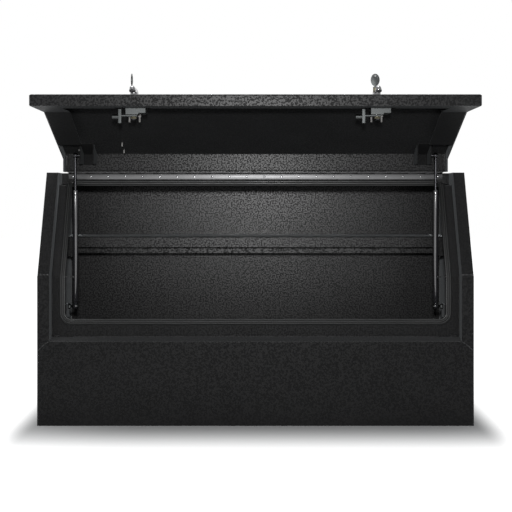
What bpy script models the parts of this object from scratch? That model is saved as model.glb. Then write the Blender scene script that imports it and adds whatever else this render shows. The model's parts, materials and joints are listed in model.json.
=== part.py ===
"""Aluminium storage box: a welded sheet box with a sloped front, a wide front-opening lid that stands open,
a piano hinge, two gas struts, two turn-handle cam locks with keys, a shelf and a clip-on door seal.

The origin is the middle of the base, +Z is up, -Y is the front and +X is the viewer's right.
"""

import math

import bmesh
import bpy
from mathutils import Matrix, Vector

MM = 0.001
GAP = 0.3 * MM

# Overall box
WIDTH = 1200 * MM
DEPTH = 500 * MM
HEIGHT = 700 * MM
SHEET = 2.5 * MM
KINK_Z = 415 * MM
SLOPE_SETBACK = 122 * MM

# Frame around the opening
OUTER_FLANGE = 33 * MM
RECESS = 38 * MM
LEDGE_Z = 232 * MM
LEDGE_RISE = 8 * MM
MITRE_DROP = 27 * MM
INNER_FLANGE = 32 * MM
SILL_HEIGHT = 45 * MM
CORNER_RADIUS = 22 * MM
CORNER_STEPS = 5
CORNER_BLOCK = 30 * MM

# Hinge
HINGE_FORWARD = 59 * MM
KNUCKLE_RADIUS = 2.7 * MM
PIN_RADIUS = 1.3 * MM
PIN_CLEARANCE = 0.12 * MM
LEAF_THICKNESS = 1.2 * MM
LEAF_HEIGHT = 15 * MM
LEAF_DROP = 3 * MM
HINGE_END = 52 * MM
KNUCKLES = 22
KNUCKLE_GAP = 0.5 * MM
KNUCKLE_SIDES = 12
RIVET_PITCH = 51 * MM
RIVET_RADIUS = 3.2 * MM
RIVET_HEIGHT = 1.2 * MM

# Seal
SEAL_CLIP = 11 * MM
SEAL_SKIN = 2 * MM
SEAL_BULB = 14 * MM
TOP_FLANGE = 32 * MM

# Lid
LID_GAP = 9 * MM
LID_SILL_GAP = 9 * MM
LIP = 29 * MM
LID_RETURN = 68 * MM
RETURN_STOP = 110 * MM
HINGE_FLANGE = 18 * MM
LID_OPEN = math.radians(90)

# Shelf
SHELF_Z = 510 * MM
SHELF_LIP = 32 * MM
SHELF_DEPTH = 200 * MM
SHELF_END_GAP = 43 * MM
BRACKET_DROP = 59 * MM
STIFFENER_BACK = 70 * MM
STIFFENER_DROP = 54 * MM

# Gas struts
STRUT_INSET = 79 * MM
STRUT_UPPER_FORWARD = 50 * MM
STRUT_UPPER_DOWN = 37 * MM
STRUT_LOWER_Z = 314 * MM
TUBE_RADIUS = 7.5 * MM
TUBE_WALL = 1.5 * MM
TUBE_LENGTH = 336 * MM
ROD_RADIUS = 4 * MM
ROD_CLEARANCE = 0.3 * MM
PISTON_LENGTH = 12 * MM
EYE_RADIUS = 8 * MM
EYE_WIDTH = 9 * MM
STUD_RADIUS = 4 * MM
STUD_CLEARANCE = 0.3 * MM
GUIDE_LENGTH = 10 * MM
ROUND_SIDES = 16

# Strut brackets
UPPER_BRACKET_FROM_STRUT = 17 * MM
UPPER_BRACKET_WIDE = 41 * MM
UPPER_BRACKET_DEEP = 68 * MM
UPPER_BRACKET_LOW = 24 * MM
BRACKET_SHEET = 3 * MM
LOWER_PLATE_FROM_STRUT = 21.3 * MM
LOWER_PLATE_TALL = 42 * MM
LOWER_PLATE_LONG = 46 * MM
LOWER_STUD_ABOVE = 34 * MM
STUD_PAST_PLATE = 7 * MM
NUT_WIDTH = 8 * MM
NUT_RADIUS = 7.5 * MM

# Locks, measured from the spindle where it crosses the lid's outer face
LOCK_INSET = 289 * MM
LOCK_ABOVE_LEDGE = 98 * MM
CASE_LEFT = 18 * MM
CASE_RIGHT = 32 * MM
CASE_TALL = 48 * MM
CASE_DEPTH = 40 * MM
CASE_WALL = 3 * MM
CASE_FOOT = 4 * MM
CASE_FOOT_RIGHT = 14 * MM
LOCK_BOLT_X = 13 * MM
LOCK_BOLT_ABOVE = 16 * MM
LOCK_BOLT_RADIUS = 2.5 * MM
LOCK_BOLT_END = 61 * MM
SPINDLE_RADIUS = 6 * MM
SPINDLE_CLEARANCE = 0.3 * MM
SPINDLE_END = 57 * MM
CAM_THICKNESS = 3.5 * MM
CAM_HALF_WIDTH = 9 * MM
CAM_TAB_NEAR = 31 * MM
CAM_TAB_FAR = 39 * MM
CAM_TAB_FRONT = 29 * MM
CAM_TAB_BACK = 65 * MM
CAM_PIN_END = 55 * MM
CAM_PIN_RADIUS = 6.5 * MM
SPINDLE_NUT_RADIUS = 9.5 * MM
SPINDLE_NUT_LENGTH = 5 * MM
PLATE_WIDE = 54 * MM
PLATE_TALL = 96 * MM
PLATE_THICKNESS = 3 * MM
HANDLE_STANDOFF = 11 * MM
HANDLE_THICKNESS = 17 * MM
HANDLE_WIDE = 20 * MM
HANDLE_LONG = 76 * MM
HANDLE_STEM_RADIUS = 9 * MM
HANDLE_ROUND = 6 * MM
CYLINDER_OFFSET = 5 * MM
CYLINDER_RADIUS = 5.5 * MM
CYLINDER_LENGTH = 14 * MM
CYLINDER_CLEARANCE = 0.2 * MM
KEY_THICKNESS = 2.2 * MM
KEY_BLADE_WIDE = 6 * MM
KEY_BLADE_LONG = 10 * MM
KEY_BOW_WIDE = 23 * MM
KEY_BOW_TALL = 32 * MM
KEY_NECK = 2 * MM
KEY_HOLE_RADIUS = 2 * MM
KEY_CLEARANCE = 0.3 * MM
NOTCH_HALF = 44 * MM

# Blank badge plate on the lid's slope, on the left
BADGE_INSET = 154.5 * MM
BADGE_DOWN_SLOPE = 55 * MM
BADGE_SCREW_WIDE = 130 * MM
BADGE_SCREW_TALL = 45 * MM
BADGE_BORDER = 10 * MM
BADGE_THICKNESS = 1.5 * MM
SCREW_RADIUS = 1.6 * MM
SCREW_HEAD_RADIUS = 3.2 * MM
SCREW_HEAD_HEIGHT = 1.6 * MM
SCREW_TIP = 6 * MM

# Places worked out from the sizes above
FRONT_Y = -DEPTH / 2
REAR_Y = DEPTH / 2
SIDE_X = WIDTH / 2
INSIDE_X = SIDE_X - SHEET - GAP
SHOULDER_Y = FRONT_Y + SLOPE_SETBACK
HINGE_Y = SHOULDER_Y + HINGE_FORWARD
HINGE_Z = HEIGHT
TOP_EDGE_Y = HINGE_Y + KNUCKLE_RADIUS + GAP
MOUTH_X = SIDE_X - OUTER_FLANGE
LID_X = MOUTH_X - LID_GAP
LID_LOW_Z = LEDGE_Z + LID_SILL_GAP
LID_REAR_Y = HINGE_Y - KNUCKLE_RADIUS - GAP
FRONT_TO_HINGE = HINGE_Y - FRONT_Y
WINDOW_X = MOUTH_X - INNER_FLANGE
HINGE_HALF = SIDE_X - HINGE_END
LOCK_X = SIDE_X - LOCK_INSET
LOCK_BELOW_HINGE = HINGE_Z - LEDGE_Z - LOCK_ABOVE_LEDGE
BADGE_X = BADGE_INSET - SIDE_X
SILL_Z = LEDGE_Z + LEDGE_RISE + SILL_HEIGHT
BORE_FACTOR = 1 / math.cos(math.pi / KNUCKLE_SIDES)
ROUND_FACTOR = 1 / math.cos(math.pi / ROUND_SIDES)
STRUT_X = SIDE_X - STRUT_INSET
UPPER_CHEEK_OUTER_X = STRUT_X - UPPER_BRACKET_FROM_STRUT
UPPER_CHEEK_INNER_X = UPPER_CHEEK_OUTER_X - UPPER_BRACKET_WIDE
LOWER_PLATE_X = STRUT_X + LOWER_PLATE_FROM_STRUT
STRUT_Y = HINGE_Y - STRUT_UPPER_DOWN
STRUT_UPPER_Z = HINGE_Z + STRUT_UPPER_FORWARD
EYE_INNER_X = STRUT_X - EYE_WIDTH / 2
SIDES = {"left": -1, "right": 1}

FINISHES = {
    "powder_coat": ((0.020, 0.020, 0.022, 1), 0.45, 0.0),
    "stainless": ((0.55, 0.55, 0.56, 1), 0.30, 1.0),
    "rubber": ((0.025, 0.025, 0.025, 1), 0.60, 0.0),
    "black_paint": ((0.012, 0.012, 0.013, 1), 0.25, 0.0),
    "chrome": ((0.75, 0.75, 0.76, 1), 0.12, 1.0),
    "zinc": ((0.42, 0.43, 0.42, 1), 0.42, 1.0),
    "brass": ((0.55, 0.40, 0.18, 1), 0.35, 1.0),
}


def start_collections():
    """Clear the scene and add one collection for the parts and one for the cutters."""
    for old in list(bpy.data.objects):
        bpy.data.objects.remove(old)
    made = []
    for name in ("aluminium_storage_box", "cutters"):
        collection = bpy.data.collections.new(name)
        bpy.context.scene.collection.children.link(collection)
        made.append(collection)
    return made


PARTS, CUTTERS = start_collections()


def finish(name):
    """Return the Principled material of this name, made once."""
    material = bpy.data.materials.get(name)
    if material is None:
        colour, roughness, metallic = FINISHES[name]
        material = bpy.data.materials.new(name)
        material.use_nodes = True
        shader = material.node_tree.nodes["Principled BSDF"]
        shader.inputs["Base Color"].default_value = colour
        shader.inputs["Roughness"].default_value = roughness
        shader.inputs["Metallic"].default_value = metallic
    return material


def add_object(name, data, material, parent=None):
    """Link an object for this mesh under its parent; a material of None makes it a cutter."""
    piece = bpy.data.objects.new(name, data)
    if material is None:
        CUTTERS.objects.link(piece)
        piece.hide_render = True
        piece.display_type = "WIRE"
    else:
        PARTS.objects.link(piece)
        data.materials.append(finish(material))
    piece.parent = parent
    return piece


def add_pivot(name, place, parent=None, turn_x=0.0, turn_z=0.0):
    """Add an empty on a joint's axis."""
    pivot = bpy.data.objects.new(name, None)
    PARTS.objects.link(pivot)
    pivot.parent = parent
    pivot.location = place
    pivot.rotation_euler = (turn_x, 0, turn_z)
    return pivot


def to_mesh(name, form):
    """Turn a filled bmesh into mesh data, shaded smooth below a 35 degree crease."""
    bmesh.ops.remove_doubles(form, verts=form.verts, dist=0.01 * MM)
    bmesh.ops.recalc_face_normals(form, faces=form.faces)
    data = bpy.data.meshes.new(name)
    form.to_mesh(data)
    form.free()
    data.shade_smooth()
    data.set_sharp_from_angle(angle=math.radians(35))
    return data


def add_block(form, low, high):
    """Add a box between two corners to a bmesh."""
    low, high = Vector(low), Vector(high)
    size = high - low
    place = Matrix.Translation((low + high) / 2) @ Matrix.Diagonal((size.x, size.y, size.z, 1))
    bmesh.ops.create_cube(form, size=1, matrix=place)


def block(name, low, high, material, parent=None):
    """A box between two corners as one object."""
    form = bmesh.new()
    add_block(form, low, high)
    return add_object(name, to_mesh(name, form), material, parent)


def along(axis):
    """The turn that lays a cylinder's +Z along a named axis."""
    turns = {
        "x": Matrix.Rotation(math.pi / 2, 4, "Y"),
        "y": Matrix.Rotation(-math.pi / 2, 4, "X"),
        "z": Matrix.Identity(4),
    }
    return turns[axis]


def add_cone(form, centre, axis, length, radius, top_radius=None, sides=ROUND_SIDES):
    """Add a cylinder or cone, centred at a point, to a bmesh."""
    top = radius if top_radius is None else top_radius
    place = Matrix.Translation(centre) @ along(axis)
    bmesh.ops.create_cone(
        form, cap_ends=True, segments=sides, radius1=radius, radius2=top, depth=length, matrix=place
    )


def rod(name, centre, axis, length, radius, material, parent=None, sides=ROUND_SIDES):
    """A cylinder as one object."""
    form = bmesh.new()
    add_cone(form, centre, axis, length, radius, sides=sides)
    return add_object(name, to_mesh(name, form), material, parent)


def prism(name, outline, low_x, high_x, material, parent=None):
    """A closed outline of (y, z) points carried from one x to another, from a filled 2D curve."""
    flat = bpy.data.curves.new(name, "CURVE")
    flat.dimensions = "2D"
    flat.fill_mode = "BOTH"
    flat.extrude = abs(high_x - low_x) / 2
    line = flat.splines.new("POLY")
    line.points.add(len(outline) - 1)
    for point, (y, z) in zip(line.points, outline):
        point.co = (y, z, 0, 1)
    line.use_cyclic_u = True
    shape = bpy.data.objects.new(name + "_outline", flat)
    CUTTERS.objects.link(shape)
    graph = bpy.context.evaluated_depsgraph_get()
    data = bpy.data.meshes.new_from_object(shape.evaluated_get(graph))
    form = bmesh.new()
    form.from_mesh(data)
    bpy.data.objects.remove(shape)
    bpy.data.meshes.remove(data)
    # the curve's x, y and z become the piece's y, z and x
    turn = Matrix(((0, 0, 1, 0), (1, 0, 0, 0), (0, 1, 0, 0), (0, 0, 0, 1)))
    middle = Matrix.Translation(((low_x + high_x) / 2, 0, 0))
    bmesh.ops.transform(form, matrix=middle @ turn, verts=form.verts)
    return add_object(name, to_mesh(name, form), material, parent)


def change(piece, other, operation="DIFFERENCE"):
    """Cut a piece with another object, or join the other object to it."""
    boolean = piece.modifiers.new(other.name, "BOOLEAN")
    boolean.operation = operation
    boolean.solver = "EXACT"
    boolean.object = other
    return piece


def cut_block(piece, low, high, parent=None):
    """Cut a box out of a piece."""
    cutter = block(piece.name + "_cut", low, high, None, parent)
    return change(piece, cutter)


def offset_path(path, distance):
    """Move an open (y, z) path to its right by a distance, with mitred corners."""
    normals = []
    for start, end in zip(path, path[1:]):
        step = (Vector(end) - Vector(start)).normalized()
        normals.append(Vector((step.y, -step.x)))
    moved = []
    for index, point in enumerate(path):
        before = normals[max(index - 1, 0)]
        after = normals[min(index, len(normals) - 1)]
        mitre = (before + after) / (1 + before.dot(after))
        moved.append(tuple(Vector(point) + mitre * distance))
    return moved


def band(path, near, far):
    """The closed outline between two offsets of a path."""
    return offset_path(path, near) + offset_path(path, far)[::-1]


def front_path(low_z, end_y):
    """The box's front edge line: up the front, up the slope and back along the top."""
    return [(FRONT_Y, low_z), (FRONT_Y, KINK_Z), (SHOULDER_Y, HEIGHT), (end_y, HEIGHT)]


def both_sides(low, high, sign):
    """A low and high distance from the middle as x values, low first, on the side of the sign."""
    return sorted((sign * low, sign * high))


def sweep(name, stations, section, material, parent=None):
    """Carry a closed section along stations of (point, across, out) as one closed body."""
    form = bmesh.new()
    rings = []
    for point, across, out in stations:
        rings.append([form.verts.new(point + across * u + out * v) for u, v in section])
    count = len(section)
    for first, second in zip(rings, rings[1:]):
        for index in range(count):
            after = (index + 1) % count
            form.faces.new((first[index], first[after], second[after], second[index]))
    form.faces.new(rings[0])
    form.faces.new(rings[-1])
    return add_object(name, to_mesh(name, form), material, parent)


def turned(name, profile, material, parent=None, sides=ROUND_SIDES):
    """A turned body about Z from (radius, height) points that start and end on the axis, top first."""
    data = bpy.data.meshes.new(name)
    points = [(radius, 0, height) for radius, height in profile]
    data.from_pydata(points, [(i, i + 1) for i in range(len(points) - 1)], [])
    piece = add_object(name, data, material, parent)
    screw = piece.modifiers.new("turn", "SCREW")
    screw.steps = sides
    screw.render_steps = sides
    screw.use_merge_vertices = True
    screw.merge_threshold = 0.01 * MM
    screw.use_smooth_shade = False
    return piece


def mitre_wedge(name, sign, shift, above):
    """A wedge on one side of the weld line that runs down and outward across the front corner."""
    reach = 60 * MM
    slope = MITRE_DROP / OUTER_FLANGE
    near_x, far_x = MOUTH_X - reach, SIDE_X + reach
    near_z = LEDGE_Z + slope * reach + shift
    far_z = LEDGE_Z - slope * (OUTER_FLANGE + reach) + shift
    side_z = HEIGHT if above else -HEIGHT
    form = bmesh.new()
    ends = []
    for y in (FRONT_Y - SHEET, FRONT_Y + SHEET + GAP):
        corners = ((near_x, near_z), (far_x, far_z), (far_x, side_z), (near_x, side_z))
        ends.append([form.verts.new((sign * x, y, z)) for x, z in corners])
    form.faces.new(ends[0])
    form.faces.new(ends[1])
    for index in range(4):
        after = (index + 1) % 4
        form.faces.new((ends[0][index], ends[0][after], ends[1][after], ends[1][index]))
    return add_object(name, to_mesh(name, form), None)


def window_cutter():
    """The opening's clear shape seen from the front, with rounded lower corners."""
    outline = [(-WINDOW_X, 2 * HEIGHT), (-WINDOW_X, SILL_Z + CORNER_RADIUS)]
    for sign in (-1, 1):
        centre_x = sign * (WINDOW_X - CORNER_RADIUS)
        for step in range(1, CORNER_STEPS):
            angle = math.pi / 2 * step / CORNER_STEPS
            side, down = (math.cos(angle), math.sin(angle)) if sign < 0 else (math.sin(angle), math.cos(angle))
            outline.append((centre_x + sign * side * CORNER_RADIUS, SILL_Z + CORNER_RADIUS * (1 - down)))
        edge = (-WINDOW_X + CORNER_RADIUS, SILL_Z) if sign < 0 else (WINDOW_X, SILL_Z + CORNER_RADIUS)
        outline.append(edge)
        if sign < 0:
            outline.append((WINDOW_X - CORNER_RADIUS, SILL_Z))
    outline.append((WINDOW_X, 2 * HEIGHT))
    cutter = prism("window_cutter", outline, FRONT_Y + SHEET, TOP_EDGE_Y - GAP / 2, None)
    # the prism's y, z and x stand for the window's x, z and y
    cutter.data.transform(Matrix(((0, 1, 0, 0), (1, 0, 0, 0), (0, 0, 1, 0), (0, 0, 0, 1))))
    cutter.data.flip_normals()
    return cutter


def build_floor():
    """The flat floor sheet."""
    inside_y = REAR_Y - SHEET - GAP
    block("floor_panel", (-INSIDE_X, -inside_y, 0), (INSIDE_X, inside_y, SHEET), "powder_coat")


def build_rear():
    """The flat rear sheet."""
    low = (-INSIDE_X, REAR_Y - SHEET, 0)
    block("rear_panel", low, (INSIDE_X, REAR_Y, HEIGHT - SHEET - GAP), "powder_coat")


def build_top():
    """The top sheet with its front edge folded down to carry the hinge and the top seal."""
    path = [(TOP_EDGE_Y, HEIGHT - TOP_FLANGE), (TOP_EDGE_Y, HEIGHT), (REAR_Y, HEIGHT)]
    prism("top_panel", band(path, 0, SHEET), -INSIDE_X, INSIDE_X, "powder_coat")


def build_front(window):
    """The lower front sheet with its sloped ledge and the upright sill that the seal clips on."""
    ledge_top = LEDGE_Z + LEDGE_RISE
    sill_y = FRONT_Y + RECESS - SHEET
    path = [(FRONT_Y, 0), (FRONT_Y, LEDGE_Z), (sill_y, ledge_top), (sill_y, SILL_Z + CORNER_BLOCK)]
    panel = prism("front_panel", band(path, 0, SHEET), -INSIDE_X, INSIDE_X, "powder_coat")
    reach = (FRONT_Y - SHEET, FRONT_Y + 2 * RECESS)
    ledge_low = LEDGE_Z - SHEET - 2 * GAP
    for sign in SIDES.values():
        low_x, high_x = both_sides(MOUTH_X - GAP, SIDE_X, sign)
        cut_block(panel, (low_x, FRONT_Y + SHEET, ledge_low - RECESS / 4), (high_x, reach[1], HEIGHT))
        low_x, high_x = both_sides(WINDOW_X - CORNER_BLOCK - GAP, SIDE_X, sign)
        cut_block(panel, (low_x, sill_y - GAP, ledge_top), (high_x, reach[1], HEIGHT))
        wedge = mitre_wedge(f"front_mitre_{sign}", sign, -GAP, True)
        change(panel, wedge)
    change(panel, window)


def build_side(side, sign):
    """A side sheet with its front edge folded in as the outer flange of the opening."""
    plate = [(FRONT_Y, 0)] + front_path(KINK_Z, REAR_Y)[1:] + [(REAR_Y, 0)]
    low_x, high_x = both_sides(MOUTH_X, SIDE_X, sign)
    panel = prism(f"side_panel_{side}", plate, low_x, high_x, "powder_coat")
    past = 10 * MM
    flange_end = LEDGE_Z - 2 * MITRE_DROP
    inner = offset_path(front_path(flange_end, TOP_EDGE_Y - GAP), SHEET)
    hollow = [(FRONT_Y - past, -past), (FRONT_Y - past, flange_end)] + inner
    hollow += [(TOP_EDGE_Y - GAP, HEIGHT + past), (REAR_Y + past, HEIGHT + past), (REAR_Y + past, -past)]
    low_x, high_x = both_sides(MOUTH_X - past, SIDE_X - SHEET, sign)
    change(panel, prism(f"side_hollow_{side}", hollow, low_x, high_x, None))
    wedge = mitre_wedge(f"side_mitre_{side}", sign, 0, False)
    keep = 2 * SIDE_X
    low_x, high_x = both_sides(SIDE_X - SHEET, keep, sign)
    change(wedge, block(f"side_mitre_end_{side}", (low_x, -keep, -keep), (high_x, keep, keep), None))
    change(panel, wedge)


def build_jamb(side, sign, window):
    """The recessed jamb: a return wall behind the outer flange and the inner flange that the seal clips on."""
    path = front_path(LEDGE_Z, TOP_EDGE_Y - GAP)
    wall_x = MOUTH_X + SHEET
    low_x, high_x = both_sides(WINDOW_X - CORNER_BLOCK, wall_x, sign)
    jamb = prism(f"jamb_{side}", band(path, SHEET + GAP, RECESS), low_x, high_x, "powder_coat")
    past = 5 * MM
    longer = front_path(LEDGE_Z - past, TOP_EDGE_Y + past)
    low_x, high_x = both_sides(WINDOW_X - CORNER_BLOCK - past, MOUTH_X, sign)
    recess = prism(f"recess_{side}", band(longer, -past, RECESS - SHEET), low_x, high_x, None)
    change(jamb, recess)
    low = (low_x, FRONT_Y, LEDGE_Z - past)
    cut_block(jamb, low, (high_x, FRONT_Y + 2 * RECESS, LEDGE_Z + LEDGE_RISE + GAP))
    change(jamb, window)


def seal_section():
    """The door seal's section across the flange edge: a clip with a slot and a D-shaped pressing face."""
    half = SHEET / 2
    slot = half + GAP
    skin = slot + SEAL_SKIN
    lip = RECESS - SHEET / 2 - LIP - GAP
    nose = SEAL_BULB - SEAL_CLIP
    arch = [(-SEAL_CLIP + SEAL_BULB * share, skin + (lip - skin) * rise)
            for share, rise in ((0.0, 0.45), (0.15, 0.85), (0.5, 1.0), (0.85, 0.85), (1.0, 0.45))]
    return [(-SEAL_CLIP, slot), (-SEAL_CLIP, skin)] + arch + [
        (nose + SEAL_SKIN, skin),
        (nose + SEAL_SKIN, -slot),
        (nose, -skin),
        (-SEAL_CLIP, -skin),
        (-SEAL_CLIP, -slot),
        (GAP, -slot),
        (GAP, slot),
    ]


def build_seal():
    """The clip-on seal: one length round the sill and both jambs, and one along the top."""
    middle = offset_path(front_path(SILL_Z, TOP_EDGE_Y - 2 * GAP), RECESS - SHEET / 2)
    outs = []
    for (y0, z0), (y1, z1) in zip(middle, middle[1:]):
        step = Vector((0, y1 - y0, z1 - z0)).normalized()
        outs.append(Vector((0, -step.z, step.y)))
    mitres = [outs[0]]
    mitres += [(a + b) / (1 + a.dot(b)) for a, b in zip(outs, outs[1:])]
    mitres.append(outs[-1])
    side = []
    for (y, z), out in zip(middle[:0:-1], mitres[:0:-1]):
        side.append((Vector((WINDOW_X, y, z)), Vector((-1, 0, 0)), out))
    sill_y = middle[0][0]
    for step in range(CORNER_STEPS + 1):
        angle = math.pi / 2 * step / CORNER_STEPS
        spoke = Vector((math.cos(angle), 0, -math.sin(angle)))
        centre = Vector((WINDOW_X - CORNER_RADIUS, sill_y, SILL_Z + CORNER_RADIUS))
        side.append((centre + spoke * CORNER_RADIUS, -spoke, outs[0]))
    flip = Matrix.Diagonal((-1, 1, 1))
    other = [(flip @ point, flip @ across, out) for point, across, out in side[::-1]]
    sweep("door_seal", side + other, seal_section(), "rubber")
    edge = Vector((0, TOP_EDGE_Y + SHEET / 2, HEIGHT - TOP_FLANGE))
    end = Vector((WINDOW_X - SEAL_SKIN - SEAL_BULB + SEAL_CLIP - 2 * GAP, 0, 0))
    stations = [(edge + sign * end, Vector((0, 0, -1)), Vector((0, -1, 0))) for sign in (-1, 1)]
    sweep("door_seal_top", stations, seal_section(), "rubber")


def hinge_leaf(name, own, leaf, out, parent):
    """A hinge leaf with every second knuckle of the barrel, its pin bore and its rivets."""
    pitch = 2 * HINGE_HALF / KNUCKLES
    barrel = bmesh.new()
    bores = bmesh.new()
    for index in range(KNUCKLES):
        if index % 2 == own:
            centre = (-HINGE_HALF + pitch * (index + 0.5), 0, 0)
            add_cone(barrel, centre, "x", pitch - KNUCKLE_GAP, KNUCKLE_RADIUS, sides=KNUCKLE_SIDES)
    bore_radius = (PIN_RADIUS + PIN_CLEARANCE) * BORE_FACTOR
    add_cone(bores, (0, 0, 0), "x", 3 * HINGE_HALF, bore_radius, sides=KNUCKLE_SIDES)
    low, high = leaf
    plate = block(name, (-HINGE_HALF, low[0], low[1]), (HINGE_HALF, high[0], high[1]), "stainless", parent)
    # clear the other leaf's knuckles, then add this leaf's own
    for index in range(KNUCKLES):
        if index % 2 != own:
            left = -HINGE_HALF + pitch * index - KNUCKLE_GAP / 2
            room = KNUCKLE_RADIUS + GAP
            cut_block(plate, (left, -room, -room), (left + pitch + KNUCKLE_GAP, room, room), parent)
    heads = bmesh.new()
    for x in rivet_places():
        tall = RIVET_HEIGHT + GAP
        face = low[0] if out < 0 else high[0]
        centre = (x, face + out * (tall / 2 - GAP), low[1] + LEAF_HEIGHT / 2)
        ends = (RIVET_RADIUS, RIVET_RADIUS * 0.6)[::out]
        add_cone(heads, centre, "y", tall, *ends, sides=8)
    for form, what, how in ((barrel, "barrel", "UNION"), (heads, "rivets", "UNION"), (bores, "bore", "DIFFERENCE")):
        tool = f"{name}_{what}"
        change(plate, add_object(tool, to_mesh(tool, form), None, parent), how)


def rivet_places():
    """The x of every rivet, spread evenly about the middle."""
    count = int(2 * (HINGE_HALF - RIVET_RADIUS * 2) / RIVET_PITCH)
    return [RIVET_PITCH * (index - count / 2) for index in range(count + 1)]


def build_hinge(lid_axis):
    """The piano hinge: a leaf on the top panel's folded edge, a leaf under the lid's edge and the pin."""
    axis = add_pivot("hinge_axis", (0, HINGE_Y, HINGE_Z))
    near = TOP_EDGE_Y - GAP - LEAF_THICKNESS - HINGE_Y
    low_z = -LEAF_DROP - LEAF_HEIGHT
    hinge_leaf("hinge_leaf_box", 0, ((near, low_z), (near + LEAF_THICKNESS, 0)), -1, axis)
    lid_near = -near - LEAF_THICKNESS
    hinge_leaf("hinge_leaf_lid", 1, ((lid_near, low_z), (lid_near + LEAF_THICKNESS, 0)), 1, lid_axis)
    rod("hinge_pin", (0, 0, 0), "x", 2 * HINGE_HALF, PIN_RADIUS, "stainless", axis, KNUCKLE_SIDES)


def build_shelf():
    """The folded shelf, its stiffener and the dark end brackets that hold it to the sides."""
    rear = REAR_Y - SHEET - GAP
    front = REAR_Y - SHELF_DEPTH
    half = INSIDE_X - SHELF_END_GAP - GAP
    path = [(front, SHELF_Z - SHELF_LIP), (front, SHELF_Z), (rear, SHELF_Z)]
    prism("shelf", band(path, 0, SHEET), -half, half, "powder_coat")
    top = SHELF_Z - SHEET - GAP
    low = (-half, front + STIFFENER_BACK, SHELF_Z - STIFFENER_DROP)
    block("shelf_stiffener", low, (half, front + STIFFENER_BACK + SHEET, top), "powder_coat")
    for side, sign in SIDES.items():
        low_x, high_x = both_sides(half + GAP, INSIDE_X - GAP, sign)
        low_z = SHELF_Z - BRACKET_DROP
        bracket = block(
            f"shelf_bracket_{side}", (low_x, front, low_z), (high_x, rear, SHELF_Z), "powder_coat"
        )
        low_x, high_x = both_sides(half - GAP, INSIDE_X - GAP - SHEET, sign)
        past = 5 * MM
        cut_block(bracket, (low_x, front + SHEET, low_z - past), (high_x, rear + past, SHELF_Z - SHEET))


def build_lower_bracket(side, sign):
    """The trough-shaped bracket on the side wall, with the stud and nut that carry the strut's foot."""
    low_z = STRUT_LOWER_Z - LOWER_STUD_ABOVE
    front = STRUT_Y - LOWER_PLATE_LONG / 2
    low_x, high_x = both_sides(LOWER_PLATE_X, INSIDE_X, sign)
    low = (low_x, front, low_z)
    high = (high_x, front + LOWER_PLATE_LONG, low_z + LOWER_PLATE_TALL)
    plate = block(f"strut_bracket_lower_{side}", low, high, "powder_coat")
    past = 5 * MM
    low_x, high_x = both_sides(LOWER_PLATE_X + BRACKET_SHEET, INSIDE_X - BRACKET_SHEET, sign)
    low = (low_x, front - past, low_z + BRACKET_SHEET)
    cut_block(plate, low, (high_x, high[1] + past, high[2] + past))
    hole = rod(
        f"stud_hole_{side}", (sign * LOWER_PLATE_X, STRUT_Y, STRUT_LOWER_Z), "x", 4 * BRACKET_SHEET,
        (STUD_RADIUS + STUD_CLEARANCE) * ROUND_FACTOR, None,
    )
    change(plate, hole)
    low_x, high_x = both_sides(EYE_INNER_X - 2 * MM, LOWER_PLATE_X + STUD_PAST_PLATE, sign)
    centre = ((low_x + high_x) / 2, STRUT_Y, STRUT_LOWER_Z)
    stud = rod(f"strut_stud_lower_{side}", centre, "x", high_x - low_x, STUD_RADIUS, "zinc")
    nut = bmesh.new()
    nut_x = sign * (LOWER_PLATE_X - GAP - NUT_WIDTH / 2)
    add_cone(nut, (nut_x, STRUT_Y, STRUT_LOWER_Z), "x", NUT_WIDTH, NUT_RADIUS, sides=6)
    change(stud, add_object(f"stud_nut_{side}", to_mesh("stud_nut", nut), None), "UNION")


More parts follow.
